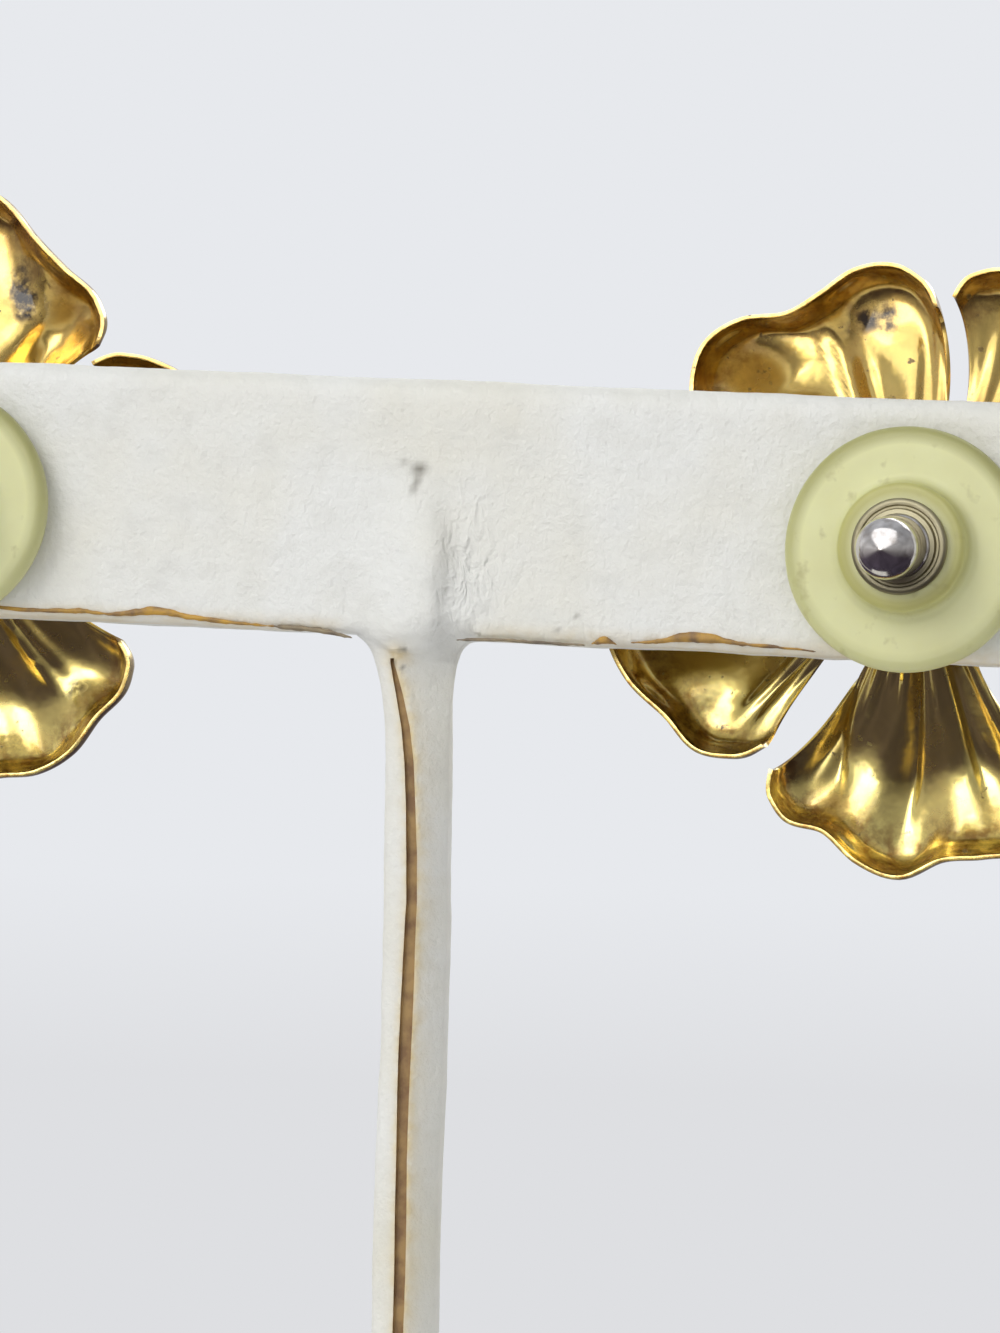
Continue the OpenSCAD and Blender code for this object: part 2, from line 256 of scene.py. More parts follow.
SPLIT_FAN = (
    (0.39, 0.2, 0.02, 0.13, 0.42, 0.1, 0.52, 0.78),
    (0.6, 0.56, 0.03, 0.1, 0.3, 0.1, 0.53, 0.79),
    (0.8, 0.78, 0.03, 0.08, 0.26, 0.1, 0.48, 0.74),
    (0.93, 0.93, 0.03, 0.04, 0.2, 0.1, 0.48, 0.74),
    (0.12, 0.1, 0.4, 0.22, -0.9, 0.25, 0.4, 0.66),
    (0.12, 0.1, 0.4, 0.22, -0.9, 0.25, 0.65, 0.91),
)
KNUCKLED_FAN = (
    (0.15, 0.16, 0.06, 0.06, -0.4, 0.2, 0.6, 0.92),
    (0.42, 0.43, 0.2, 0.16, -0.3, 0.15, 0.45, 0.9),
    (0.6, 0.7, 0.03, 0.03, 0.3, 0.08, 0.5, 0.76),
    (0.68, 0.79, 0.03, 0.04, 0.25, 0.08, 0.48, 0.74),
    (0.9, 0.9, 0.12, 0.3, 0.3, 0.2, 0.5, 0.9),
    (1.02, 1.02, 0.12, 0.1, -0.25, 0.2, 0.5, 0.9),
)
LEFT_FLUTES = (BROAD_LOBES, LEANING_FAN, DEEP_FAN, SCOOPED_FAN, PLAIN_FAN)
RIGHT_FLUTES = (SPLIT_FAN, PLAIN_FAN, SCOOPED_FAN, KNUCKLED_FAN, BROAD_LOBES)
FLUTE_REACH = 3
CREST_POWER = 1.6
HOLLOW_POWER = 2

# Mesh cells of a petal, how far they crowd to its sides, and the band along its rim that tarnishes
CELLS_ACROSS = 84
CELLS_OUT = 46
CELLS_CROWD = 0.45
RIM_BAND = (0.72, 0.92)

# The open seam down the stem's back. Columns: height over the table, place along X and half width, all
# in mm. Then the depth it is cut to, and the size of the blade.
SEAM = (
    (65, 1.12, 0.09), (64.4, 0.98, 0.13), (63.5, 0.76, 0.17), (62.1, 0.44, 0.2), (60.5, 0.22, 0.22),
    (58.7, 0.1, 0.22), (56.4, -0.03, 0.25), (54.1, -0.09, 0.25), (51.9, -0.04, 0.27), (49.6, 0, 0.29),
    (47.3, 0.04, 0.29), (45.1, 0.05, 0.27), (42.5, 0.04, 0.25), (40, 0.01, 0.27), (37.5, -0.03, 0.26),
    (34.6, -0.02, 0.25), (29, 0.05, 0.23), (23, 0.02, 0.27), (17, -0.04, 0.25), (11, 0, 0.23),
    (4.5, 0.02, 0.23),
)
SEAM_DEEP = 0.22 * MM
BLADE_DEEP = 2 * MM
BLADE_TOP = 0.2 * MM

# Crease in the bar's back over the stem's edge, in mm in the bar's frame: its top, how far it runs down,
# its place along the bar, how far it leans, and from where to where its step rises and eases out
CREASE_TOP = 1.7
CREASE_FALL = 7.5
CREASE_X = -0.5
CREASE_LEAN = 0.8
CREASE_STEP = 0.5 * MM
CREASE_RISE = (-0.7, 0.4)
CREASE_EASE = (0.8, 4.5)

# Shares of the crease's fall over which it leans over, its step sets in, and its painted shade does
LEAN_SETS_IN = (0, 0.5)
STEP_SETS_IN = (0, 0.6)
PAINTED_SHADE_SETS_IN = (0, 0.4)

# Lean of the stem's back on one side of its seam: its slope, where it starts beside the seam, and between
# which heights from the stem's top it ends, in mm
STEM_TURN = 0.75
STEM_TURN_FROM = 0.3
STEM_TURN_END = (-2.5, 1)

# How far the stem's middle stands off its axis, in mm, at nine heights from the table to the bar
STEM_LEAN = (0, 0, 0.02, 0.03, -0.02, 0.02, -0.06, 0.06, 0.16)

# Fold of the wrap under the bar's back lower edge, where it sets in away from the stem, in mm, and how
# far under the bar it still reaches. Columns: place along the bar and width, in mm.
EDGE_FOLD = (
    (40, 0.3), (12.6, 0.34), (11, 0.26), (8, 0.16), (5, 0.08), (2, 0.02), (-3, 0.02), (-8, 0.06),
    (-9.6, 0.14), (-12, 0.24), (-14, 0.32), (-40, 0.3),
)
FOLD_CLEAR = (1.8, 3)
FOLD_UNDER = 0.1 * MM

# Dried glue on that edge, and last a thin grey line painted as the shadow under it beside the stem.
# Columns: place along the bar, place up it, half height and half depth, in mm.
# Its lumps: size and height in mm, and detail.
GLUE_LEFT = (
    (20.6, -5.52, 0.05, 0.05), (19.4, -5.51, 0.09, 0.07), (18.7, -5.58, 0.1, 0.08),
    (17.1, -5.56, 0.08, 0.06), (15.9, -5.53, 0.1, 0.08), (15.4, -5.47, 0.14, 0.1),
    (14.9, -5.55, 0.08, 0.07), (14.06, -5.6, 0.07, 0.06), (13.3, -5.5, 0.12, 0.1),
    (12.6, -5.36, 0.2, 0.14), (11.9, -5.32, 0.2, 0.15), (11.3, -5.36, 0.17, 0.13),
    (10.9, -5.48, 0.12, 0.1), (10.2, -5.55, 0.12, 0.09), (9.08, -5.66, 0.1, 0.07),
    (8.2, -5.7, 0.07, 0.06), (7.27, -5.75, 0.06, 0.05), (6.1, -5.77, 0.05, 0.05),
)
# Grey glue near the stem, its colour painted darker for the shade there.
GLUE_TAIL = (
    (6.5, -5.76, 0.04, 0.04), (5.83, -5.77, 0.1, 0.07), (4.9, -5.8, 0.12, 0.08), (4.02, -5.88, 0.11, 0.07),
    (3.2, -6, 0.09, 0.06), (2.69, -6.13, 0.04, 0.03),
)
GLUE_RIGHT = (
    (-10.2, -5.72, 0.03, 0.03), (-10.9, -5.66, 0.08, 0.06), (-11.6, -5.62, 0.1, 0.07),
    (-12.1, -5.45, 0.16, 0.12), (-12.5, -5.36, 0.22, 0.15), (-13.3, -5.32, 0.26, 0.17),
    (-14.1, -5.35, 0.2, 0.15), (-14.8, -5.46, 0.12, 0.1), (-15.5, -5.55, 0.08, 0.07),
    (-16.6, -5.58, 0.09, 0.06), (-17.9, -5.62, 0.07, 0.05), (-18.9, -5.72, 0.03, 0.03),
)
GLUE_DROP = (
    (-8.4, -5.86, 0.03, 0.03), (-8.6, -5.8, 0.08, 0.07), (-8.9, -5.66, 0.2, 0.13),
    (-9.15, -5.68, 0.17, 0.12), (-9.4, -5.78, 0.08, 0.06), (-9.6, -5.84, 0.03, 0.03),
)
# Not glue: a thin grey line painted as the shadow under the bar's lower edge, right of the stem.
PAINTED_SHADOW_LINE = (
    (-2.1, -5.98, 0.04, 0.03), (-3.1, -5.9, 0.09, 0.06), (-4.6, -5.87, 0.08, 0.05),
    (-5.4, -5.9, 0.06, 0.04), (-7, -5.93, 0.08, 0.05), (-8.2, -5.92, 0.03, 0.03),
)
BEAD_SIDES = 14
BEAD_SUNK = 0.02 * MM
BEAD_UNDER = 0.2 * MM
GLUE_LUMPS = (0.35, 0.14, 3)

# Scuffs on the stand's back, glue on a torn patch, and puckers beside the stem. Columns: place along X
# and height over the table, half width and half height, all in mm, and strength.
SCUFFS = (
    (-0.04, 73.69, 0.36, 0.28, 0.85), (0.02, 73.15, 0.15, 0.24, 0.75), (0.2, 72.76, 0.13, 0.25, 0.75),
    (0.68, 74.02, 0.2, 0.15, 0.4), (-7.55, 67.13, 0.12, 0.12, 0.6), (-6.64, 66.45, 0.13, 0.12, 0.5),
    (0.52, 65.49, 0.17, 0.12, 0.8), (1.09, 64.86, 0.14, 0.2, 0.9), (0.65, 64.67, 0.12, 0.14, 0.7),
)
TORN_PATCH = (0.9, 65.1, 0.6, 0.6, 1.3)
PUCKERS = (-2.1, 68.6, 1.3, 3.6, 1)

# Stains, and painted shade. Beside the seam, on its +X side and on the other: strength, and reach in mm,
# and how far in mm they go on over its top. Along the bar's lower edge: strength, how far in mm it goes on
# under the bar, and where in mm it sets in down the bar and away from the stem. Shade painted into the
# crease: strength, and place and half width in mm.
SEAM_STAINS = ((1.1, 0.22), (1.5, 0.32))
SEAM_STAIN_OVER = 0.4
EDGE_STAIN = 0.6
EDGE_STAIN_UNDER = 1.2
EDGE_STAIN_LOW = (4.7, 5.7)
EDGE_STAIN_CLEAR = (2, 4)
# Painted shade: the crease over the stem's edge is darkened through the scuffs' colour.
CREASE_PAINTED_SHADE = (0.16, -0.1, 0.6)

# Tarnish on the petals' backs. Columns: side, place along X and Z from the post, half width and half
# height, all in mm, and darkness.
TARNISH = (
    (-1, 3.5, 11.25, 0.8, 0.55, 1), (-1, 2.85, 10.85, 0.5, 0.6, 0.95), (-1, 4.1, 10.7, 0.6, 0.5, 0.85),
    (-1, 2.27, -10.8, 0.7, 1.2, 0.35), (-1, 5.2, -11.2, 0.9, 0.5, 0.4), (-1, -0.6, -12.2, 0.5, 0.8, 0.3),
    (1, -1.1, 11.95, 0.7, 0.5, 0.8), (1, -0.85, 10.9, 0.7, 0.8, 0.9), (1, -1.6, 10.3, 0.7, 0.8, 1),
    (1, -1.35, 9.7, 0.6, 0.4, 0.9), (1, -5.1, -7.75, 0.5, 0.35, 0.95), (1, -4.75, -8.1, 0.3, 0.3, 0.6),
)

# Camera: place, turn from -Y towards +X, climb and roll, and a lens for a 36 mm wide sensor
CAMERA_PLACE = Vector((-74.5, 308.52, 51.06)) * MM
CAMERA_TURN = math.radians(12.95)
CAMERA_CLIMB = math.radians(2.5)
CAMERA_ROLL = 0.028
CAMERA_LENS = 250.74
CAMERA_SENSOR = 36
CAMERA_CLIP = (0.01, 20)

# Floor and backdrop, in m
FLOOR_R = 0.6
SWEEP_R = 3
SWEEP_H = 3
BACKDROP_LOW = "#dedfe2"
BACKDROP_HIGH = "#e7e9ed"
SWEEP_GAP = 0.0005
SWEEP_LAP = 0.02
FLOOR_FADE = (0.15, 0.5)
BACKDROP_RISE = (0, 0.09)

# Softboxes. Columns: name, place, width and height in m, power in W, and whether matt surfaces see it and
# whether mirrors do.
SOFTBOXES = (
    ("key_light", (0.3, 0.42, 0.42), 0.36, 0.45, 1.7, True, False),
    ("window", (0.03, 0.5, 0.42), 0.8, 0.8, 1.9, False, True),
    ("window_core", (0.05, 0.5, 0.27), 0.36, 0.37, 1, False, True),
    ("fill_light", (-0.45, 0.35, 0.3), 0.4, 0.4, 0.2, True, False),
    ("front_light", (-0.2, -0.5, 0.45), 0.5, 0.5, 1.8, True, True),
)

# The room round the camera. Columns: height of the direction from -1, straight down, to 1, straight up,
# and linear red, green and blue.
ROOM = (
    (-1, (0.06, 0.05, 0.07)), (-0.35, (0.08, 0.064, 0.085)), (-0.05, (0.36, 0.34, 0.34)),
    (0.2, (0.6, 0.6, 0.6)), (0.6, (0.52, 0.53, 0.55)), (1, (0.5, 0.52, 0.55)),
)


def linear(code):
    """Linear red, green, blue and alpha of an sRGB hex code."""
    parts = [int(code[i:i + 2], 16) / 255 for i in (1, 3, 5)]
    return [c / 12.92 if c <= 0.04045 else ((c + 0.055) / 1.055) ** 2.4 for c in parts] + [1]


def per(size_mm):
    """A texture's scale for a feature of that size in mm."""
    return 1 / (size_mm * MM)


def add_node(tree, kind, values=None, links=None, **settings):
    """Adds a node with its settings, its inputs' values and what feeds them: a socket, or a node for
    the first of its outputs that is in use."""
    node = tree.nodes.new("ShaderNode" + kind)
    for name, value in settings.items():
        setattr(node, name, value)
    for socket, value in (values or {}).items():
        node.inputs[socket].default_value = value
    for socket, source in (links or {}).items():
        if isinstance(source, bpy.types.Node):
            source = next(output for output in source.outputs if output.enabled)
        tree.links.new(source, node.inputs[socket])
    return node


def new_material(name):
    """An empty material, and what adds nodes to it."""
    material = bpy.data.materials.new(name)
    material.use_nodes = True
    material.node_tree.nodes.clear()
    return material, functools.partial(add_node, material.node_tree)


def deselect_all():
    bpy.ops.object.select_all(action="DESELECT")


def make_active(obj):
    deselect_all()
    obj.select_set(True)
    bpy.context.view_layer.objects.active = obj


def edit_all(obj):
    """Goes into edit mode with the whole of one mesh selected."""
    make_active(obj)
    bpy.ops.object.mode_set(mode="EDIT")
    bpy.ops.mesh.select_all(action="SELECT")


def start_from(name, add, **settings):
    """Adds a primitive, a light or a camera, with nothing else selected, and names it."""
    deselect_all()
    add(**settings)
    obj = bpy.context.object
    obj.name = name
    return obj


def settle(obj):
    """Puts an object's place, turn and scale into its mesh."""
    make_active(obj)
    bpy.ops.object.transform_apply(location=True, rotation=True, scale=True)


def move_mesh(obj, matrix):
    """Carries a whole mesh through a matrix."""
    obj.data.transform(matrix)
    obj.data.update()


def add_block(name, size, centre):
    """A box to start from."""
    block = start_from(name, bpy.ops.mesh.primitive_cube_add, size=1, location=centre, scale=size)
    settle(block)
    return block


def select_parts(obj, kind, test):
    """In edit mode, selects only the faces or edges that pass a test of their mean place and their
    direction: a face's normal, or an edge's run."""
    make_active(obj)
    bpy.ops.object.mode_set(mode="EDIT")
    bpy.ops.mesh.select_mode(type="FACE" if kind == "faces" else "EDGE")
    bpy.ops.mesh.select_all(action="DESELECT")
    mesh = bmesh.from_edit_mesh(obj.data)
    for part in getattr(mesh, kind):
        middle = sum((v.co for v in part.verts), Vector()) / len(part.verts)
        if kind == "faces":
            run = part.normal
        else:
            run = (part.verts[1].co - part.verts[0].co).normalized()
        part.select_set(test(middle, run))
    mesh.select_flush_mode()
    bmesh.update_edit_mesh(obj.data)


def end_edit():
    bpy.ops.object.mode_set(mode="OBJECT")


def bevel_edges(obj, radius, segments, test):
    """Rounds the edges that pass the test."""
    select_parts(obj, "edges", test)
    bpy.ops.mesh.bevel(offset=radius, segments=segments, affect="EDGES")
    end_edit()


def use_modifier(obj, kind, **settings):
    """Adds a modifier and applies it."""
    make_active(obj)
    modifier = obj.modifiers.new(kind.lower(), kind)
    for name, value in settings.items():
        setattr(modifier, name, value)
    bpy.ops.object.modifier_apply(modifier=modifier.name)


def combine(obj, other, operation):
    """Unites or cuts with another object, which is used up. Both are worked on at a thousand times
    their size, because a boolean's tolerances are made for metres."""
    for piece in (obj, other):
        move_mesh(piece, Matrix.Scale(1 / MM, 4))
    use_modifier(obj, "BOOLEAN", operation=operation, object=other, solver="MANIFOLD")
    move_mesh(obj, Matrix.Scale(MM, 4))
    bpy.data.objects.remove(other)


def face_outwards(obj):
    """Merges doubles and turns every normal outwards."""
    edit_all(obj)
    bpy.ops.mesh.remove_doubles(threshold=SAME_PLACE)
    bpy.ops.mesh.normals_make_consistent(inside=False)
    end_edit()


def smooth_shading(obj, angle=40):
    make_active(obj)
    bpy.ops.object.shade_smooth_by_angle(angle=math.radians(angle))


def make_uneven(obj, name, waves):
    """Moves a surface in and out over a cloud pattern: waves gives its size and height in mm and its
    detail."""
    size, height, detail = waves
    texture = bpy.data.textures.new(name, "CLOUDS")
    texture.noise_scale = size * MM
    texture.noise_depth = detail
    use_modifier(obj, "DISPLACE", texture=texture, texture_coords="LOCAL", strength=height * MM,
                 mid_level=0.5)


def clamp(value):
    """The value, kept between 0 and 1."""
    return min(max(value, 0), 1)


def smoothstep(low, high, value):
    """Smooth rise from 0 at low to 1 at high."""
    x = clamp((value - low) / (high - low))
    return x * x * (3 - 2 * x)


def along(values, u):
    """Value of a smooth curve through a list, at u from 0 for its first entry to 1 for its last."""
    last = len(values) - 1
    i = min(int(u * last), last - 1)
    f = u * last - i
    a = values[max(i - 1, 0)]
    b = values[i]
    c = values[i + 1]
    d = values[min(i + 2, last)]
    return b + f * ((c - a) / 2 + f * (a - 2.5 * b + 2 * c - d / 2 + f * (3 * (b - c) + d - a) / 2))


def between_rows(rows, value, column):
    """A column of a table whose first column falls, read off between its rows."""
    for upper_painted_shade, lower in zip(rows, rows[1:]):
        if lower[0] <= value <= upper_painted_shade[0]:
            share = (upper_painted_shade[0] - value) / (upper_painted_shade[0] - lower[0])
            return upper_painted_shade[column] + (lower[column] - upper_painted_shade[column]) * share
    return rows[0][column] if value > rows[0][0] else rows[-1][column]


BAR_FRAME = Matrix.Translation((0, 0, BAR_Z)) @ Matrix.Rotation(BAR_TILT, 4, "Y")


def post_frame(side):
    """From an earring's own frame, with its post along Y, to the row frame."""
    return BAR_FRAME @ Matrix.Translation((side * POST_X, 0, -POST_DROP))


# Materials


def leatherette():
    """Coated leatherette in white, embossed with a fine grain, glued round board and yellowed with
    age: a soft sheen, small pebbles, drawn puckers where it is stretched, warm stains near the glue,
    scuffs, and shade painted into the crease over the stem's edge."""
    material, add = new_material("white_leatherette")
    place = add("TexCoord").outputs["Object"]
    ageing = add("TexNoise", {"Scale": per(11), "Detail": 3}, {"Vector": place})
    mottle = add("TexNoise", {"Scale": per(1.4), "Detail": 5}, {"Vector": place})
    warm = add("MapRange", {"From Min": 0.42, "From Max": 0.68}, {"Value": ageing})
    tint = add("Mix", {"A": linear("#f1f1eb"), "B": linear("#ece9da")}, {"Factor": warm}, data_type="RGBA")
    spot = add("MapRange", {"From Min": 0.5, "From Max": 0.75, "To Max": 0.4}, {"Value": mottle})
    soiled = add("Mix", {"B": linear("#e0dfd6")}, {"Factor": spot, "A": tint}, data_type="RGBA")
    stain = add("Attribute", attribute_name="stain").outputs["Fac"]
    broken = add("TexNoise", {"Scale": per(0.7), "Detail": 3}, {"Vector": place})
    patchy = add("Math", {}, {0: stain, 1: broken}, operation="MULTIPLY")
    yellowed = add("Mix", {"B": linear("#e2c98c")}, {"Factor": patchy, "A": soiled}, data_type="RGBA")
    # Scuffs, and shade painted into the crease over the stem's edge, share this darkening.
    scuff_and_crease_shade = add("Attribute", attribute_name="scuff_and_crease_shade").outputs["Fac"]
    scuffed_and_shaded = add("Mix", {"B": linear("#6f685a")}, {"Factor": scuff_and_crease_shade, "A": yellowed}, data_type="RGBA")
    pebble = add("TexNoise", {"Scale": per(0.34), "Detail": 4, "Roughness": 0.6}, {"Vector": place})
    grain = add("Bump", {"Strength": 0.9, "Distance": 0.1 * MM}, {"Height": pebble})
    drawn = add("Mapping", {"Rotation": (0, 0.5, 0), "Scale": (1.6, 1, 0.8)}, {"Vector": place})
    pull = add("TexNoise", {"Scale": per(0.9), "Detail": 2, "Distortion": 0.8}, {"Vector": drawn})
    pucker = add("Attribute", attribute_name="pucker").outputs["Fac"]
    slack = add("MapRange", {"To Min": 0.14}, {"Value": pucker})
    pulled = add("Math", {}, {0: pull, 1: slack}, operation="MULTIPLY")
    bump = add("Bump", {"Strength": 1, "Distance": 0.35 * MM}, {"Height": pulled, "Normal": grain})
    sheen = add("MapRange", {"To Min": 0.42, "To Max": 0.62}, {"Value": pebble})
    skin = add("BsdfPrincipled", {"Specular IOR Level": 0.35},
               {"Base Color": scuffed_and_shaded, "Roughness": sheen, "Normal": bump})
    add("OutputMaterial", {}, {"Surface": skin})
    return material


def dried_glue(name, light, dark):
    """Contact glue dried on brown board: amber, a little glossy, darker where it is thin."""
    material, add = new_material(name)
    place = add("TexCoord").outputs["Object"]
    thick = add("TexNoise", {"Scale": per(0.8), "Detail": 4}, {"Vector": place})
    share = add("MapRange", {"From Min": 0.35, "From Max": 0.62}, {"Value": thick})
    colour = add("Mix", {"A": linear(dark), "B": linear(light)}, {"Factor": share}, data_type="RGBA")
    bump = add("Bump", {"Strength": 0.5, "Distance": 0.08 * MM}, {"Height": thick})
    glue = add("BsdfPrincipled", {"Roughness": 0.5}, {"Base Color": colour, "Normal": bump})
    add("OutputMaterial", {}, {"Surface": glue})
    return material


def gold_plate():
    """Brass sheet, pressed, polished, gold plated and lacquered: bright soft-edged reflections that
    waver with the pressing, the upper petals painted darker and more orange, a painted reflection of darker
    surroundings, warm mottled tarnish towards the rim, brown spots and small dull specks."""
    material, add = new_material("lacquered_gold_plate")
    place = add("TexCoord").outputs["Object"]
    haze = add("TexNoise", {"Scale": per(2.4), "Detail": 5, "Roughness": 0.6}, {"Vector": place})
    wear_and_painted_tint = add("MapRange", {"From Min": 0.45, "From Max": 0.7, "To Max": 0.6}, {"Value": haze})
    apart = add("SeparateXYZ", {}, {"Vector": place})
    # Painted reflection: the upper petals are painted darker and more orange, standing in for the darker
    # surroundings they reflect.
    upper_painted_shade = add("MapRange", {"From Min": BAR_Z - 8 * MM, "From Max": BAR_Z + 8 * MM},
                {"Value": apart.outputs["Z"]})
    bright = add("Mix", {"A": linear("#fbe68c"), "B": linear("#e8c76e")}, {"Factor": upper_painted_shade},
                 data_type="RGBA")
    aged = add("Mix", {"A": linear("#dfbb66"), "B": linear("#c4994a")}, {"Factor": upper_painted_shade}, data_type="RGBA")
    colour = add("Mix", {}, {"Factor": wear_and_painted_tint, "A": bright, "B": aged}, data_type="RGBA")
    rim = add("Attribute", attribute_name="rim").outputs["Fac"]
    bloom = add("TexNoise", {"Scale": per(0.9), "Detail": 5, "Roughness": 0.7}, {"Vector": place})
    bloomed = add("MapRange", {"From Min": 0.4, "From Max": 0.62}, {"Value": bloom})
    rim_bloom = add("Math", {}, {0: bloomed, 1: rim}, operation="MULTIPLY")
    warmed = add("Mix", {"B": linear("#b38b46")}, {"Factor": rim_bloom, "A": colour}, data_type="RGBA")
    speck = add("TexNoise", {"Scale": per(0.55), "Detail": 3}, {"Vector": place})
    dull = add("MapRange", {"From Min": 0.66, "From Max": 0.74, "To Max": 0.7}, {"Value": speck})
    tarnish = add("Attribute", attribute_name="tarnish").outputs["Fac"]
    ragged = add("MapRange", {"From Min": 0.36, "From Max": 0.58, "To Min": 0.35}, {"Value": bloom})
    eaten = add("Math", {}, {0: tarnish, 1: ragged}, operation="MULTIPLY")
    spots = add("Math", {}, {0: dull, 1: eaten}, operation="MAXIMUM")
    spotted = add("Mix", {"B": linear("#4f4234")}, {"Factor": spots, "A": warmed}, data_type="RGBA")
    gloss = add("MapRange", {"From Min": 0.35, "From Max": 0.7, "To Min": 0.15, "To Max": 0.32},
                {"Value": haze})
    rough = add("Math", {}, {0: spots, 1: gloss}, operation="MAXIMUM")
    ripple = add("TexNoise", {"Scale": per(1.3), "Detail": 2}, {"Vector": place})
    bump = add("Bump", {"Strength": 0.5, "Distance": 0.1 * MM}, {"Height": ripple})
    metal = add("BsdfPrincipled", {"Metallic": 1, "Coat Weight": 1, "Coat Roughness": 0.08},
                {"Base Color": spotted, "Roughness": rough, "Normal": bump})
    add("OutputMaterial", {}, {"Surface": metal})
    return material


def yellowed_vinyl(side):
    """Soft clear vinyl, moulded and yellowed with age: cloudy, a darker band painted round its rim as
    shade, stronger towards the top, a darker ring painted round the hub as shade, small bruises and a soft
    gloss."""
    material, add = new_material("yellowed_vinyl_" + ("left" if side < 0 else "right"))
    place = add("TexCoord").outputs["Object"]
    middle = post_frame(side).translation
    centred = add("VectorMath", {1: (middle.x, 0, middle.z)}, {0: place}, operation="SUBTRACT")
    flat = add("VectorMath", {1: (1, 0, 1)}, {0: centred}, operation="MULTIPLY")
    radius = add("VectorMath", {}, {0: flat}, operation="LENGTH")
    cloud = add("TexNoise", {"Scale": per(2.6), "Detail": 4}, {"Vector": place})
    body = add("Mix", {"A": linear("#e6e7b2"), "B": linear("#d7d49b")}, {"Factor": cloud}, data_type="RGBA")
    # Painted shade: a darker olive band round the rim, stronger towards the top, for the translucent edge
    # and its bevel.
    rim = add("MapRange", {"From Min": 4.65 * MM, "From Max": 5.1 * MM, "To Max": 0.9}, {"Value": radius})
    apart = add("SeparateXYZ", {}, {"Vector": flat})
    upper_painted_shade = add("MapRange", {"From Min": -4 * MM, "From Max": 4 * MM, "To Min": 0.3},
                {"Value": apart.outputs["Z"]})
    painted_rim_shade = add("Math", {}, {0: rim, 1: upper_painted_shade}, operation="MULTIPLY")
    rim_shaded_colour = add("Mix", {"B": linear("#a3a164")}, {"Factor": painted_rim_shade, "A": body}, data_type="RGBA")
    # Painted shade: a darker ring round the hub's foot and edge, under the flange.
    foot = add("MapRange", {"From Min": 2.1 * MM, "From Max": 2.5 * MM, "To Max": 0.85}, {"Value": radius})
    past = add("MapRange", {"From Min": 2.8 * MM, "From Max": 3.1 * MM, "To Min": 1, "To Max": 0},
               {"Value": radius})
    painted_hub_shade = add("Math", {}, {0: foot, 1: past}, operation="MULTIPLY")
    hub_shaded_colour = add("Mix", {"B": linear("#b2ae64")}, {"Factor": painted_hub_shade, "A": rim_shaded_colour}, data_type="RGBA")
    bruise = add("TexNoise", {"Scale": per(1.1), "Detail": 3}, {"Vector": place})
    marks = add("MapRange", {"From Min": 0.62, "From Max": 0.75, "To Max": 0.5}, {"Value": bruise})
    marked = add("Mix", {"B": linear("#a39c60")}, {"Factor": marks, "A": hub_shaded_colour}, data_type="RGBA")
    bump = add("Bump", {"Strength": 0.3, "Distance": 0.05 * MM}, {"Height": cloud})
    vinyl = add("BsdfPrincipled",
                {"Roughness": 0.38, "IOR": 1.53, "Subsurface Weight": 0.35,
                 "Subsurface Radius": (1, 0.95, 0.5), "Subsurface Scale": 1.2 * MM},
                {"Base Color": marked, "Normal": bump})
    add("OutputMaterial", {}, {"Surface": vinyl})
    return material


def polished_nickel():
    """Nickel-plated brass, turned and polished: mirror bright, with small pits, and on its rougher flange a
    dull yellow-olive painted as the flange's reflection of the yellowed disc."""
    material, add = new_material("polished_nickel")
    place = add("TexCoord").outputs["Object"]
    pits = add("TexNoise", {"Scale": per(0.5), "Detail": 4}, {"Vector": place})
    dull = add("MapRange", {"From Min": 0.5, "From Max": 0.75}, {"Value": pits})
    colour = add("Mix", {"A": linear("#dcd8d6"), "B": linear("#b3aba4")}, {"Factor": dull},
                 data_type="RGBA")
    apart = add("SeparateXYZ", {}, {"Vector": place})
    barrel_y = FLANGE_Y + FLANGE_T + 0.2 * MM
    # Painted reflection: the flange below the barrel is painted dull yellow-olive for the yellowed disc it
    # reflects, and made rougher.
    flange_reflection_mask = add("MapRange",
                 {"From Min": barrel_y, "From Max": barrel_y + 0.1 * MM, "To Min": 0.9, "To Max": 0},
                 {"Value": apart.outputs["Y"]})
    wear_and_painted_tint = add("Mix", {"B": linear("#999170")}, {"Factor": flange_reflection_mask, "A": colour}, data_type="RGBA")
    gloss = add("MapRange", {"To Min": 0.12, "To Max": 0.26}, {"Value": dull})
    rubbed = add("Math", {1: 0.55}, {0: flange_reflection_mask}, operation="MULTIPLY")
    rough = add("Math", {}, {0: gloss, 1: rubbed}, operation="MAXIMUM")
    metal = add("BsdfPrincipled", {"Metallic": 1}, {"Base Color": wear_and_painted_tint, "Roughness": rough})
    add("OutputMaterial", {}, {"Surface": metal})
    return material


# Stand


def bar_board():
    """The bar in its own frame: soft long edges on top, crisper ones below, and a hole for each post."""
    board = add_block("bar_board", (BAR_L, BAR_T, BAR_H), (0, 0, 0))
    bevel_edges(board, BAR_TOP_R, 6, lambda m, run: abs(run.x) > ALONG and m.z > 0)
    bevel_edges(board, BAR_LOW_R, 4, lambda m, run: abs(run.x) > ALONG and m.z < -BAR_H / 2 + TOUCH)
    bevel_edges(board, BAR_END_R, 4, lambda m, run: abs(m.x) > BAR_L / 2 - TOUCH)
    for side in (-1, 1):
        drill = start_from(
            "drill", bpy.ops.mesh.primitive_cylinder_add, vertices=32, radius=HOLE_D / 2,
            depth=2 * BAR_T, location=(side * POST_X, 0, -POST_DROP), rotation=(math.pi / 2, 0, 0))
        settle(drill)
        combine(board, drill, "DIFFERENCE")
    move_mesh(board, BAR_FRAME)
    return board


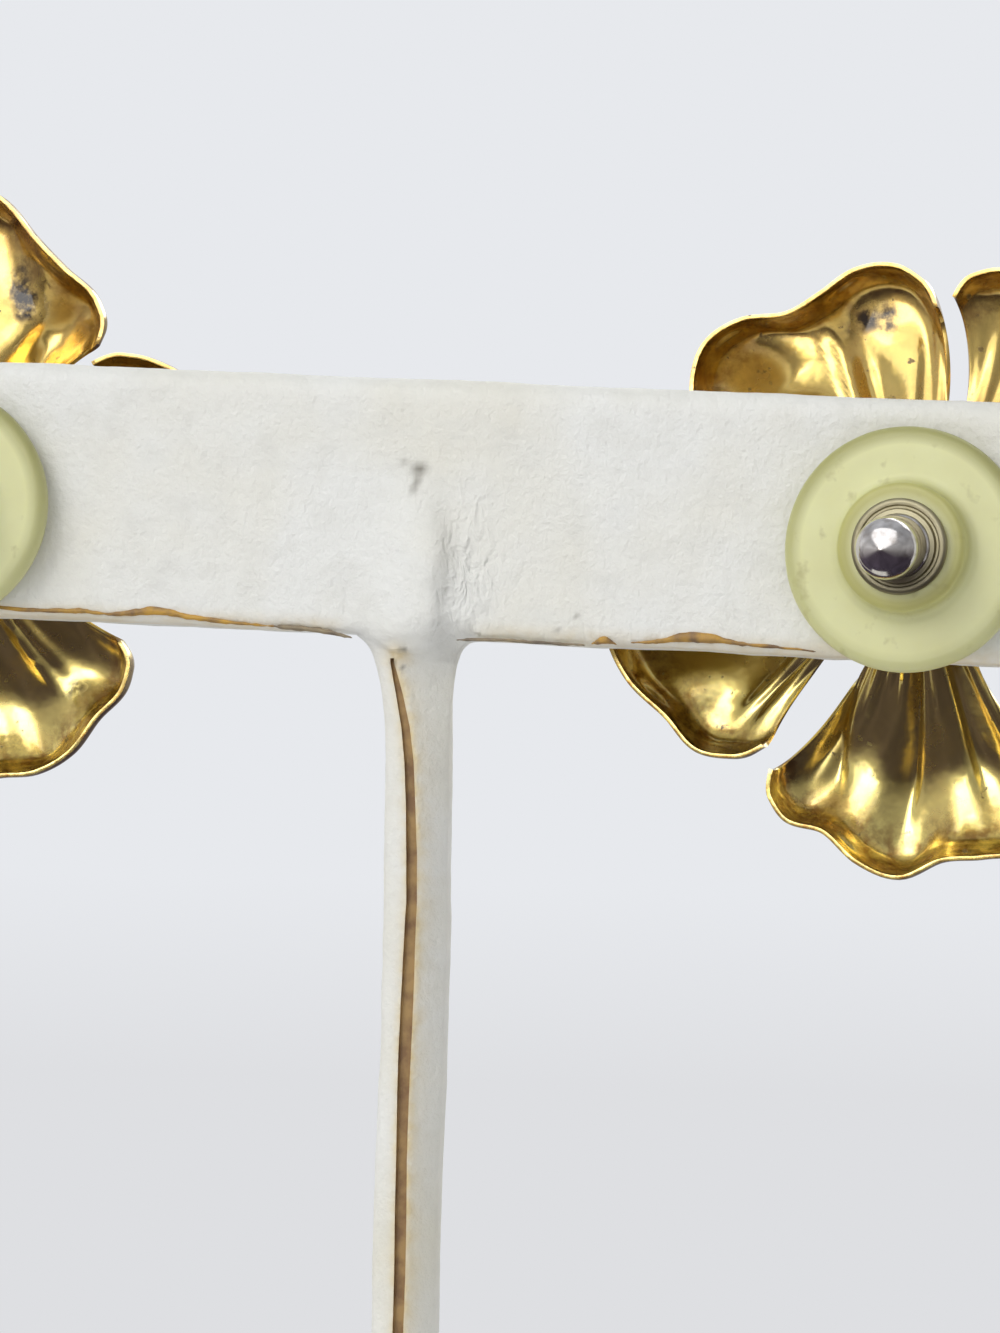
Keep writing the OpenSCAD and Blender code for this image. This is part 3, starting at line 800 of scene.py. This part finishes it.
def stem_post():
    """The stem: a square post with round corners that swells into the bar on all sides."""
    flare_h = max(height for _, height in STEM_FLARES.values())
    straight = STEM_TOP - flare_h - BASE_H + SEAT
    post = add_block("stem_post", (STEM_W, STEM_W, straight), (0, 0, BASE_H - SEAT + straight / 2))
    bevel_edges(post, STEM_EDGE_R, 5, lambda m, run: abs(run.z) > ALONG)
    select_parts(post, "faces", lambda m, normal: normal.z > ALONG)
    for _ in range(FLARE_STEPS + 2):
        bpy.ops.mesh.extrude_region_move(TRANSFORM_OT_translate={"value": (0, 0, flare_h / FLARE_STEPS)})
    end_edit()
    half = STEM_W / 2
    for v in post.data.vertices:
        width, height = STEM_FLARES[1 if v.co.x > 0 else -1]
        rise = clamp((v.co.z - STEM_TOP + height) / height)
        v.co.x += v.co.x / half * width * (1 - math.sqrt(1 - rise * rise))
        rise = clamp((v.co.z - STEM_TOP + STEM_FLARE_DEEP) / STEM_FLARE_DEEP)
        v.co.y += v.co.y / half * (BAR_T / 2 - half - FLARE_INSET) * (1 - math.sqrt(1 - rise * rise))
    return post


def seam_knife():
    """A crooked blade that follows the open seam down the stem's back."""
    top = SEAM[0]
    blade_y = (STEM_W / 2 - SEAM_DEEP) + BLADE_DEEP / 2
    blade = add_block("seam_knife", (2 * top[2] * MM, BLADE_DEEP, BLADE_TOP),
                      (top[1] * MM, blade_y, top[0] * MM))
    select_parts(blade, "faces", lambda m, normal: normal.z < -ALONG)
    height, place, half = top
    for row in SEAM[1:]:
        bpy.ops.mesh.extrude_region_move(TRANSFORM_OT_translate={
            "value": ((row[1] - place) * MM, 0, (row[0] - height) * MM)})
        bpy.ops.transform.resize(value=(row[2] / half, 1, 1),
                                 center_override=(row[1] * MM, blade_y, row[0] * MM))
        height, place, half = row
    end_edit()
    return blade


def wrap_of_bar_and_stem(skin, glue):
    """The leatherette that wraps bar and stem in one: softened where they meet, uneven where the hand
    stretched it, and open along the seam down the stem's back."""
    wrap = bar_board()
    wrap.name = "stand_wrap"
    combine(wrap, stem_post(), "UNION")
    use_modifier(wrap, "REMESH", mode="VOXEL", voxel_size=WRAP_CELL)
    use_modifier(wrap, "SMOOTH", factor=0.5, iterations=6)
    make_uneven(wrap, "stretch", WRAP_STRETCH)
    make_uneven(wrap, "puckers", WRAP_PUCKERS)
    for v in wrap.data.vertices:
        if v.co.z < STEM_TOP:
            v.co.x += along(STEM_LEAN, max(v.co.z, 0) / STEM_TOP) * MM
        v.co += fold_over_stem(v.co)
        v.co += fold_under_edge(v.co)
        v.co += turn_stem_side(v.co)
    wrap.data.materials.clear()
    wrap.data.materials.append(skin)
    wrap.data.materials.append(glue)
    knife = seam_knife()
    knife.data.materials.append(glue)
    combine(wrap, knife, "DIFFERENCE")
    smooth_shading(wrap)
    mark_wrap(wrap)
    return wrap


def off_crease(local):
    """How far a point of the bar's back is past the crease over the stem's edge, in mm, and how far the
    crease has fallen from its top, as a share."""
    fall = clamp((CREASE_TOP - local.z / MM) / CREASE_FALL)
    return local.x / MM - CREASE_X + CREASE_LEAN * smoothstep(*LEAN_SETS_IN, fall), fall


def fold_over_stem(point):
    """The soft step in the bar's back face, where the stem inside pushes the wrap out."""
    local = BAR_FRAME.inverted() @ point
    if local.y < BAR_BACK - CREASE_STEP:
        return Vector()
    across, fall = off_crease(local)
    rise = smoothstep(*CREASE_RISE, across) * (1 - smoothstep(*CREASE_EASE, across))
    return Vector((0, CREASE_STEP * rise * smoothstep(*STEP_SETS_IN, fall), 0))


def fold_width(x):
    """Width of the fold under the bar's back lower edge, at a place along the bar in mm."""
    return between_rows(EDGE_FOLD, x, 1) * MM


def fold_under_edge(point):
    """The wrap turned under along the bar's back lower edge, wider away from the stem."""
    local = BAR_FRAME.inverted() @ point
    past = (local.y - BAR_BACK) - (local.z + BAR_H / 2) + fold_width(local.x / MM)
    if local.y < 0 or past < 0 or local.z < -BAR_H / 2 - FOLD_UNDER:
        return Vector()
    return Vector((0, -past / 2, past / 2)) * smoothstep(*FOLD_CLEAR, abs(local.x / MM))


def turn_stem_side(point):
    """The stem's back leans away on the -X side of its seam, less towards the front and the bar."""
    if point.y < 0 or point.z > STEM_TOP + STEM_TURN_END[1] * MM or abs(point.x) > STEM_W:
        return Vector()
    across = between_rows(SEAM, min(point.z / MM, SEAM[0][0]), 1) - point.x / MM
    below = 1 - smoothstep(*STEM_TURN_END, (point.z - STEM_TOP) / MM)
    outer = min(point.y / (STEM_W / 2), 1)
    return Vector((0, -STEM_TURN * MM * max(across - STEM_TURN_FROM, 0) * below * outer, 0))


def blot(x, z, row):
    """A soft spot's strength: row gives its middle and its half width and height, in mm."""
    return math.exp(-((x - row[0]) / row[2]) ** 2 - ((z - row[1]) / row[3]) ** 2)


def mark_wrap(wrap):
    """Stains of glue beside the seam and along the bar's lower back edge, a torn patch at the seam's
    top, scuffs, shade painted into the crease over the stem's edge, and the puckers beside the stem."""
    mesh = wrap.data
    stain = mesh.attributes.new("stain", "FLOAT", "POINT")
    scuff_and_crease_shade = mesh.attributes.new("scuff_and_crease_shade", "FLOAT", "POINT")
    pucker = mesh.attributes.new("pucker", "FLOAT", "POINT")
    to_bar = BAR_FRAME.inverted()
    crease_strength, crease_place, crease_half = CREASE_PAINTED_SHADE
    for i, v in enumerate(mesh.vertices):
        if v.co.y < 0:
            continue
        x, z = v.co.x / MM, v.co.z / MM
        soaked = TORN_PATCH[4] * blot(x, z, TORN_PATCH)
        crease_shade = 0
        if z < SEAM[0][0] + SEAM_STAIN_OVER:
            off = x - between_rows(SEAM, z, 1)
            half = between_rows(SEAM, z, 2)
            strength, reach = SEAM_STAINS[0 if off > 0 else 1]
            soaked = max(soaked, strength * math.exp(-max(abs(off) - half, 0) / reach))
        if z > STEM_TOP / MM - EDGE_STAIN_UNDER:
            local = to_bar @ v.co
            low = smoothstep(*EDGE_STAIN_LOW, -local.z / MM)
            low *= smoothstep(*EDGE_STAIN_CLEAR, abs(local.x / MM))
            soaked = max(soaked, EDGE_STAIN * low * low)
            # Painted shade along the crease over the stem's edge.
            across, fall = off_crease(local)
            crease_shade = crease_strength * smoothstep(*PAINTED_SHADE_SETS_IN, fall)
            crease_shade *= math.exp(-((across - crease_place) / crease_half) ** 2)
            pucker.data[i].value = PUCKERS[4] * blot(x, z, PUCKERS)
        stain.data[i].value = soaked
        scuff_and_crease_shade.data[i].value = min(sum(row[4] * blot(x, z, row) for row in SCUFFS) + crease_shade, 1)


def glue_bead(name, rows):
    """A bead along the bar's back lower edge: squeezed-out glue, and in one case a thin grey line of
    painted shadow.
    """
    bead = start_from(name, bpy.ops.mesh.primitive_circle_add, vertices=BEAD_SIDES, radius=1,
                      fill_type="NGON", rotation=(0, math.pi / 2, 0))
    settle(bead)
    centre = bead_middle(rows[0])
    half_h, half_d = rows[0][2:]
    move_mesh(bead, Matrix.Translation(centre) @ Matrix.Diagonal((1, half_d * MM, half_h * MM, 1)))
    edit_all(bead)
    for row in rows[1:]:
        place = bead_middle(row)
        bpy.ops.mesh.extrude_region_move(TRANSFORM_OT_translate={"value": place - centre})
        bpy.ops.transform.resize(value=(1, row[3] / half_d, row[2] / half_h), center_override=place)
        centre = place
        half_h, half_d = row[2:]
    end_edit()
    face_outwards(bead)
    use_modifier(bead, "SUBSURF", levels=2, render_levels=2)
    make_uneven(bead, name + "_lumps", GLUE_LUMPS)
    move_mesh(bead, BAR_FRAME)
    smooth_shading(bead, 60)
    return bead


def bead_middle(row):
    """The middle of a bead in the bar's frame, on the wrap's surface."""
    x, z = row[0] * MM, row[1] * MM
    under = max(-BAR_H / 2 + fold_width(row[0]) - z, 0)
    return Vector((x, BAR_BACK - BEAD_SUNK - min(under, BEAD_UNDER), z))


def base_block(skin):
    """The base: a board wrapped in the same leatherette, with soft edges."""
    block = add_block("base_wrap", (BASE_W, BASE_D, BASE_H), (0, 0, BASE_H / 2))
    bevel_edges(block, BASE_CORNER_R, 10, lambda m, run: abs(run.z) > ALONG)
    bevel_edges(block, BASE_EDGE_R, 5, lambda m, run: abs(run.z) < ACROSS and m.z > BASE_H - TOUCH)
    bevel_edges(block, BASE_FOOT_R, 3, lambda m, run: abs(run.z) < ACROSS and m.z < TOUCH)
    use_modifier(block, "REMESH", mode="VOXEL", voxel_size=BASE_CELL)
    use_modifier(block, "SMOOTH", factor=0.5, iterations=4)
    make_uneven(block, "base_stretch", BASE_STRETCH)
    for v in block.data.vertices:
        v.co.z = max(v.co.z, 0)
    block.data.materials.append(skin)
    smooth_shading(block)
    return block


# Earrings


def flutes_at(rows, u, t):
    """Height in mm of the flutes on a petal's back, at a share across it and a share of the way out."""
    total = 0
    for at_hub, at_rim, before, after, height, full, fade, end in rows:
        off = u - at_hub - (at_rim - at_hub) * t
        reach = abs(off) / (after if off > 0 else before)
        if reach < FLUTE_REACH:
            share = smoothstep(0, full, t) * (1 - smoothstep(fade, end, t))
            total += height * math.exp(-reach ** (CREST_POWER if height > 0 else HOLLOW_POWER)) * share
    return total


def rim_radius(petal, u):
    """Outer radius of a petal at a share across it, with its corners rounded."""
    radius = along(petal[4], u) * MM - SHEET_T / 2
    to_side = min(u, 1 - u) * radius * math.radians(petal[3] - petal[2])
    short = 1 - min(to_side / CORNER_R, 1)
    return radius - CORNER_R * short ** CORNER_POWER


def petal_point(petal, flutes, curl, u, s):
    """A point of a petal's sheet: u is the share across it and s the share along its section."""
    hub_from, hub_to, rim_from, rim_to, _ = petal
    t = along(SECTION_SHARE, s)
    rows = len(SECTION_SHARE) - 1
    open_part = 1 - smoothstep(WALL_ROW, WALL_ROW + 1, s * rows)
    lobe = LOBE_DEPTH * t * t * math.sin(math.pi * u) * math.cos(2 * math.pi * (u - 0.5) * LOBE_WAVES)
    depth = along(SECTION_DEPTH, s) + open_part * (lobe - flutes_at(flutes, u, t))
    depth -= curl[0] * smoothstep(curl[1], curl[2], t)
    least = min(depth, SECTION_DEPTH[-1])
    depth += (least - depth) * SIDE_TURN * abs(2 * u - 1) ** SIDE_POWER * min(1, SIDE_START * t)
    radius = HUB_R + (rim_radius(petal, u) - HUB_R) * t
    start = hub_from + (rim_from - hub_from) * t * t
    end = hub_to + (rim_to - hub_to) * t * t
    angle = math.radians(start + (end - start) * u)
    return Vector((-radius * math.cos(angle), BAR_FRONT - depth * MM, radius * math.sin(angle)))


def pressed_petal(petal, flutes, curl):
    """A petal: a flat grid pressed into its bowl, with lobes, flutes and turned-back edges, and its
    share of the way to the rim kept for the tarnish."""
    sheet = start_from("petal", bpy.ops.mesh.primitive_grid_add, x_subdivisions=CELLS_ACROSS,
                       y_subdivisions=CELLS_OUT, size=1)
    rim = sheet.data.attributes.new("rim", "FLOAT", "POINT")
    shares = []
    for i, v in enumerate(sheet.data.vertices):
        u, s = v.co.x + 0.5, v.co.y + 0.5
        u -= CELLS_CROWD * math.sin(2 * math.pi * u) / (2 * math.pi)
        rim.data[i].value = smoothstep(*RIM_BAND, along(SECTION_SHARE, s))
        at_edge = max(smoothstep(*RIM_THINS, s), smoothstep(*SIDE_THINS, abs(2 * u - 1)))
        shares.append(1 - (1 - EDGE_SHARE) * at_edge)
        v.co = petal_point(petal, flutes, curl, u, s)
    thickness = sheet.vertex_groups.new(name="thickness")
    for i, share in enumerate(shares):
        thickness.add([i], share, "REPLACE")
    return sheet


def close_hub(flower):
    """Fills the round hub between the petals' roots."""
    mesh = bmesh.new()
    mesh.from_mesh(flower.data)
    roots = [v for v in mesh.verts if math.hypot(v.co.x, v.co.z) < HUB_R + SAME_PLACE]
    roots.sort(key=lambda v: math.atan2(v.co.z, v.co.x))
    mesh.faces.new(roots)
    mesh.to_mesh(flower.data)
    mesh.free()


def turned(name, profile, segments=64):
    """A round piece about the Y axis, spun from its half profile of radius and place along Y."""
    piece = start_from(name, bpy.ops.mesh.primitive_plane_add, size=1)
    outline = bmesh.new()
    corners = [outline.verts.new((radius, y, 0)) for radius, y in profile]
    for a, b in zip(corners, corners[1:]):
        outline.edges.new((a, b))
    outline.to_mesh(piece.data)
    outline.free()
    edit_all(piece)
    bpy.ops.mesh.spin(steps=segments, angle=2 * math.pi, center=(0, 0, 0), axis=(0, 1, 0))
    end_edit()
    face_outwards(piece)
    return piece


def arc(centre_r, centre_y, radius, start, end, steps):
    """Points of an arc in a half profile, with its angles in degrees from outwards to +Y."""
    points = []
    for i in range(steps + 1):
        angle = math.radians(start + (end - start) * i / steps)
        points.append((centre_r + radius * math.cos(angle), centre_y + radius * math.sin(angle)))
    return points


def domed_centre():
    """The domed centre on the flower's front, solid down to its hub."""
    front_y = HUB_Y - SHEET_T / 2
    ball_r = (CENTRE_R ** 2 + CENTRE_H ** 2) / (2 * CENTRE_H)
    half_angle = math.degrees(math.asin(min(CENTRE_R / ball_r, 1)))
    dome = arc(0, front_y + CENTRE_SUNK - CENTRE_H + ball_r, ball_r, -90, -90 + half_angle, 14)
    dome[0] = (0, dome[0][1])
    return turned("domed_centre", dome + [(CENTRE_R - CENTRE_DRAWN_IN, HUB_Y), (0, HUB_Y)])


def post_and_pad():
    """The solder pad behind the hub and the post with its round tip."""
    tip_r = POST_D / 2
    pad_y = BAR_FRONT - PAD_GAP
    tip = arc(0, POST_TIP_Y - tip_r, tip_r, 0, 90, 6)
    tip[-1] = (0, POST_TIP_Y)
    pad = [(0, HUB_Y), (PAD_R, HUB_Y), (PAD_R * PAD_TAPER, pad_y - PAD_CHAMFER),
           (tip_r + PAD_LAND, pad_y), (tip_r, pad_y + PAD_FILLET)]
    return turned("post_and_pad", pad + tip)


def flower(name, side, petals, flutes, curls, shift, gold):
    """A hollow-backed flower with its domed centre, solder pad and post, in one."""
    sheets = [pressed_petal(*rows) for rows in zip(petals, flutes, curls)]
    make_active(sheets[0])
    for sheet in sheets[1:]:
        sheet.select_set(True)
    bpy.ops.object.join()
    bloom = bpy.context.object
    bloom.name = name
    close_hub(bloom)
    face_outwards(bloom)
    use_modifier(bloom, "SOLIDIFY", thickness=SHEET_T, offset=0, vertex_group="thickness")
    use_modifier(bloom, "BEVEL", width=LIP_R, segments=3, limit_method="ANGLE",
                 angle_limit=math.radians(60))
    combine(bloom, domed_centre(), "UNION")
    move_mesh(bloom, Matrix.Translation((-side * shift[0], 0, shift[1])))
    combine(bloom, post_and_pad(), "UNION")
    mark_tarnish(bloom, side)
    move_mesh(bloom, post_frame(side))
    bloom.data.materials.clear()
    bloom.data.materials.append(gold)
    smooth_shading(bloom, 50)
    return bloom


def mark_tarnish(bloom, side):
    """Dark spots on the backs of the petals."""
    tarnish = bloom.data.attributes.new("tarnish", "FLOAT", "POINT")
    spots = [row[1:] for row in TARNISH if row[0] == side]
    for i, v in enumerate(bloom.data.vertices):
        if v.normal.y > 0:
            x, z = v.co.x / MM, v.co.z / MM
            tarnish.data[i].value = min(sum(row[4] * blot(x, z, row) for row in spots), 1)


def soft_disc(name, side, vinyl):
    """A soft comfort disc with its raised hub and a bore for the bullet's sleeve."""
    disc_r, boss_r, bore_r = DISC_D / 2, BOSS_D / 2, SLEEVE_R + FIT
    profile = [(bore_r, DISC_Y)]
    profile += arc(disc_r - DISC_EDGE_R, DISC_Y + DISC_EDGE_R, DISC_EDGE_R, -90, 0, 8)
    profile += arc(disc_r - DISC_EDGE_R, BOSS_Y - DISC_EDGE_R, DISC_EDGE_R, 0, 90, 8)
    profile += [(boss_r + BOSS_FOOT_R + BOSS_FOOT_LAND, BOSS_Y)]
    profile += arc(boss_r + BOSS_FOOT_R, BOSS_Y + BOSS_FOOT_R, BOSS_FOOT_R, -90, -180, 6)
    profile += arc(boss_r - BOSS_RIM_R, BOSS_Y + BOSS_H - BOSS_RIM_R, BOSS_RIM_R, 0, 90, 5)
    profile += [(bore_r, BOSS_Y + BOSS_H), (bore_r, DISC_Y)]
    disc = turned(name, profile, 96)
    make_uneven(disc, name + "_flow", DISC_FLOW)
    move_mesh(disc, post_frame(side))
    disc.data.materials.append(vinyl)
    smooth_shading(disc)
    return disc


def bullet(name, side, nickel):
    """A bullet back: a sleeve inside the disc, a stepped flange on its hub, and a barrel with a blunt
    point that leans a little off its straight bore."""
    barrel_r, flange_r, bore_r = BULLET_D / 2, FLANGE_D / 2, POST_D / 2 + FIT
    flange_back = FLANGE_Y + FLANGE_T
    slope = math.radians(NOSE_SLOPE)
    cone_r = barrel_r - NOSE_R + NOSE_R * math.sin(slope)
    dome_y = BULLET_TIP_Y - cone_r * math.tan(slope) - NOSE_R * math.cos(slope)
    profile = [(bore_r, DISC_Y + SEAT), (SLEEVE_R, DISC_Y + SEAT), (SLEEVE_R, FLANGE_Y)]
    profile += arc(flange_r - FLANGE_FRONT_R, FLANGE_Y + FLANGE_FRONT_R, FLANGE_FRONT_R, -90, 0, 3)
    profile += arc(flange_r - FLANGE_BACK_R, flange_back - FLANGE_BACK_R, FLANGE_BACK_R, 0, 90, 4)
    profile += [(flange_r + out * MM, flange_back + on * MM) for out, on in FLANGE_GROOVE]
    profile += [(barrel_r + out * MM, flange_back + on * MM) for out, on in BARREL_FOOT]
    profile += arc(barrel_r - NOSE_R, dome_y, NOSE_R, 0, 90 - NOSE_SLOPE, 12)
    profile += [(out * MM, BULLET_TIP_Y + on * MM) for out, on in NOSE_TIP]
    profile += [(0, POST_TIP_Y + SEAT), (bore_r, POST_TIP_Y + SEAT), (bore_r, DISC_Y + SEAT)]
    piece = turned(name, profile, 72)
    for v in piece.data.vertices:
        if math.hypot(v.co.x, v.co.z) > bore_r + TOUCH or v.co.y > POST_TIP_Y + SEAT + TOUCH:
            share = max(v.co.y - flange_back, 0) / (BULLET_TIP_Y - flange_back)
            v.co += share * Vector((BARREL_LEAN[side][0], 0, BARREL_LEAN[side][1]))
    move_mesh(piece, post_frame(side))
    piece.data.materials.append(nickel)
    smooth_shading(piece, 30)
    return piece


# Stage


def camera():
    """The camera at the photograph's place and angle."""
    turn, climb, roll = CAMERA_TURN, CAMERA_CLIMB, CAMERA_ROLL
    ahead = Vector((math.sin(turn) * math.cos(climb), -math.cos(turn) * math.cos(climb), math.sin(climb)))
    right = ahead.cross(Vector((0, 0, 1))).normalized()
    up = right.cross(ahead)
    rolled_right = math.cos(roll) * right + math.sin(roll) * up
    rolled_up = -math.sin(roll) * right + math.cos(roll) * up
    axes = Matrix((rolled_right, rolled_up, -ahead)).transposed().to_4x4()
    eye = start_from("photo_camera", bpy.ops.object.camera_add)
    eye.matrix_world = Matrix.Translation(CAMERA_PLACE) @ axes
    eye.data.sensor_fit = "HORIZONTAL"
    eye.data.sensor_width = CAMERA_SENSOR
    eye.data.lens = CAMERA_LENS
    eye.data.clip_start, eye.data.clip_end = CAMERA_CLIP
    bpy.context.scene.camera = eye


def backdrop_glow(add):
    """The even pale tone of the backdrop, a little lighter higher up."""
    place = add("TexCoord").outputs["Object"]
    apart = add("SeparateXYZ", {}, {"Vector": place})
    low, high = BACKDROP_RISE
    rise = add("MapRange", {"From Min": low, "From Max": high}, {"Value": apart.outputs["Z"]})
    tone = add("Mix", {"A": linear(BACKDROP_LOW), "B": linear(BACKDROP_HIGH)}, {"Factor": rise},
               data_type="RGBA")
    glow = add("Emission", {"Strength": 1}, {"Color": tone})
    return place, glow


def floor_and_backdrop():
    """A matt pale floor that runs out into an evenly lit sweep all round."""
    floor = start_from("floor", bpy.ops.mesh.primitive_circle_add, vertices=96, radius=FLOOR_R,
                       fill_type="NGON")
    material, add = new_material("matt_paper")
    place, glow = backdrop_glow(add)
    near, away = FLOOR_FADE
    far = add("VectorMath", {}, {0: place}, operation="LENGTH")
    fade = add("MapRange", {"From Min": near, "From Max": away}, {"Value": far},
               interpolation_type="SMOOTHSTEP")
    matt = add("BsdfDiffuse", {"Color": linear("#dfdfe2")})
    surface = add("MixShader", {}, {0: fade, 1: matt, 2: glow})
    add("OutputMaterial", {}, {"Surface": surface})
    floor.data.materials.append(material)
    floor.visible_glossy = False
    sweep = start_from("backdrop", bpy.ops.mesh.primitive_circle_add, vertices=96,
                       radius=FLOOR_R - SWEEP_LAP, fill_type="NOTHING", location=(0, 0, -SWEEP_GAP))
    settle(sweep)
    edit_all(sweep)
    bpy.ops.mesh.extrude_region_move()
    bpy.ops.transform.resize(value=(SWEEP_R / FLOOR_R, SWEEP_R / FLOOR_R, 1))
    bpy.ops.mesh.extrude_region_move(TRANSFORM_OT_translate={"value": (0, 0, SWEEP_H)})
    end_edit()
    material, add = new_material("lit_backdrop")
    glow = backdrop_glow(add)[1]
    add("OutputMaterial", {}, {"Surface": glow})
    sweep.data.materials.append(material)
    sweep.visible_glossy = False
    sweep.visible_diffuse = False
    sweep.visible_shadow = False
    sweep.visible_transmission = False


def softbox(name, place, width, height, power, matt, mirrored):
    """A soft window light that faces the earrings, seen by matt surfaces, in mirrors, or both."""
    lamp = start_from(name, bpy.ops.object.light_add, type="AREA")
    spot = Vector(place)
    facing = (Vector((0, 0, BAR_Z)) - spot).to_track_quat("-Z", "Y").to_matrix().to_4x4()
    lamp.matrix_world = Matrix.Translation(spot) @ facing
    lamp.data.shape = "RECTANGLE"
    lamp.data.size = width
    lamp.data.size_y = height
    lamp.data.energy = power
    lamp.visible_diffuse = matt
    lamp.visible_glossy = mirrored


def room_light():
    """The room round the camera: pale above, dim and brown below the table's edge, with soft shapes."""
    world = bpy.data.worlds.new("room")
    bpy.context.scene.world = world
    world.use_nodes = True
    world.node_tree.nodes.clear()
    add = functools.partial(add_node, world.node_tree)
    way = add("TexCoord").outputs["Generated"]
    apart = add("SeparateXYZ", {}, {"Vector": way})
    rise = add("MapRange", {"From Min": -1, "From Max": 1}, {"Value": apart.outputs["Z"]})
    ramp = add("ValToRGB", {}, {"Fac": rise})
    stops = ramp.color_ramp.elements
    for height, _ in ROOM[1:-1]:
        stops.new((height + 1) / 2)
    for stop, (height, colour) in zip(stops, ROOM):
        stop.position = (height + 1) / 2
        stop.color = (*colour, 1)
    shapes = add("TexNoise", {"Scale": 2.2, "Detail": 2}, {"Vector": way})
    shade = add("MapRange", {"From Min": 0.35, "From Max": 0.65, "To Min": 0.75, "To Max": 1.25},
                {"Value": shapes})
    side = add("MapRange", {"From Min": -0.8, "From Max": 0.3, "To Min": 0.6, "To Max": 1.1},
               {"Value": apart.outputs["X"]})
    light = add("Math", {}, {0: shade, 1: side}, operation="MULTIPLY")
    glow = add("Background", {}, {"Color": ramp, "Strength": light})
    add("OutputWorld", {}, {"Surface": glow})


camera()
floor_and_backdrop()
room_light()
for row in SOFTBOXES:
    softbox(*row)
bpy.context.scene.view_settings.view_transform = "Standard"

skin = leatherette()
bead_glue = dried_glue("amber_glue", "#c4973c", "#7d6244")
# Grey-brown, painted for the shade along the bar's lower edge beside the stem.
grey_glue_and_painted_shadow = dried_glue("grey_glue_and_painted_shadow", "#9a8a6c", "#6d6152")
seam_glue = dried_glue("glued_board", "#ac8b55", "#85643f")
gold = gold_plate()
nickel = polished_nickel()

stand_wrap = wrap_of_bar_and_stem(skin, seam_glue)
base_wrap = base_block(skin)
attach(stand_wrap, "stand")
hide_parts("bar", "stem")
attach(base_wrap, "stand")
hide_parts("base")

for name, rows, glue in (
        ("glue_line", GLUE_LEFT, bead_glue), ("glue_tail", GLUE_TAIL, grey_glue_and_painted_shadow),
        ("glue_smear", GLUE_RIGHT, bead_glue), ("glue_drop", GLUE_DROP, bead_glue),
        ("painted_shadow_line", PAINTED_SHADOW_LINE, grey_glue_and_painted_shadow)):
    bead = glue_bead(name, rows)
    bead.data.materials.append(glue)
    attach(bead, "stand")

for side, word, petals, flutes, curls, shift in (
        (-1, "left", LEFT_PETALS, LEFT_FLUTES, LEFT_CURL, LEFT_SHIFT),
        (1, "right", RIGHT_PETALS, RIGHT_FLUTES, RIGHT_CURL, RIGHT_SHIFT)):
    bloom = flower("gold_flower_" + word, side, petals, flutes, curls, shift, gold)
    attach(bloom, "stand")
    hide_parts("flower_" + word)
    disc = soft_disc("vinyl_disc_" + word, side, yellowed_vinyl(side))
    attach(disc, "clutch_" + word)
    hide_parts("clutch_disc_" + word)
    back = bullet("nickel_bullet_" + word, side, nickel)
    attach(back, "clutch_" + word)
    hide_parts("clutch_bullet_" + word)
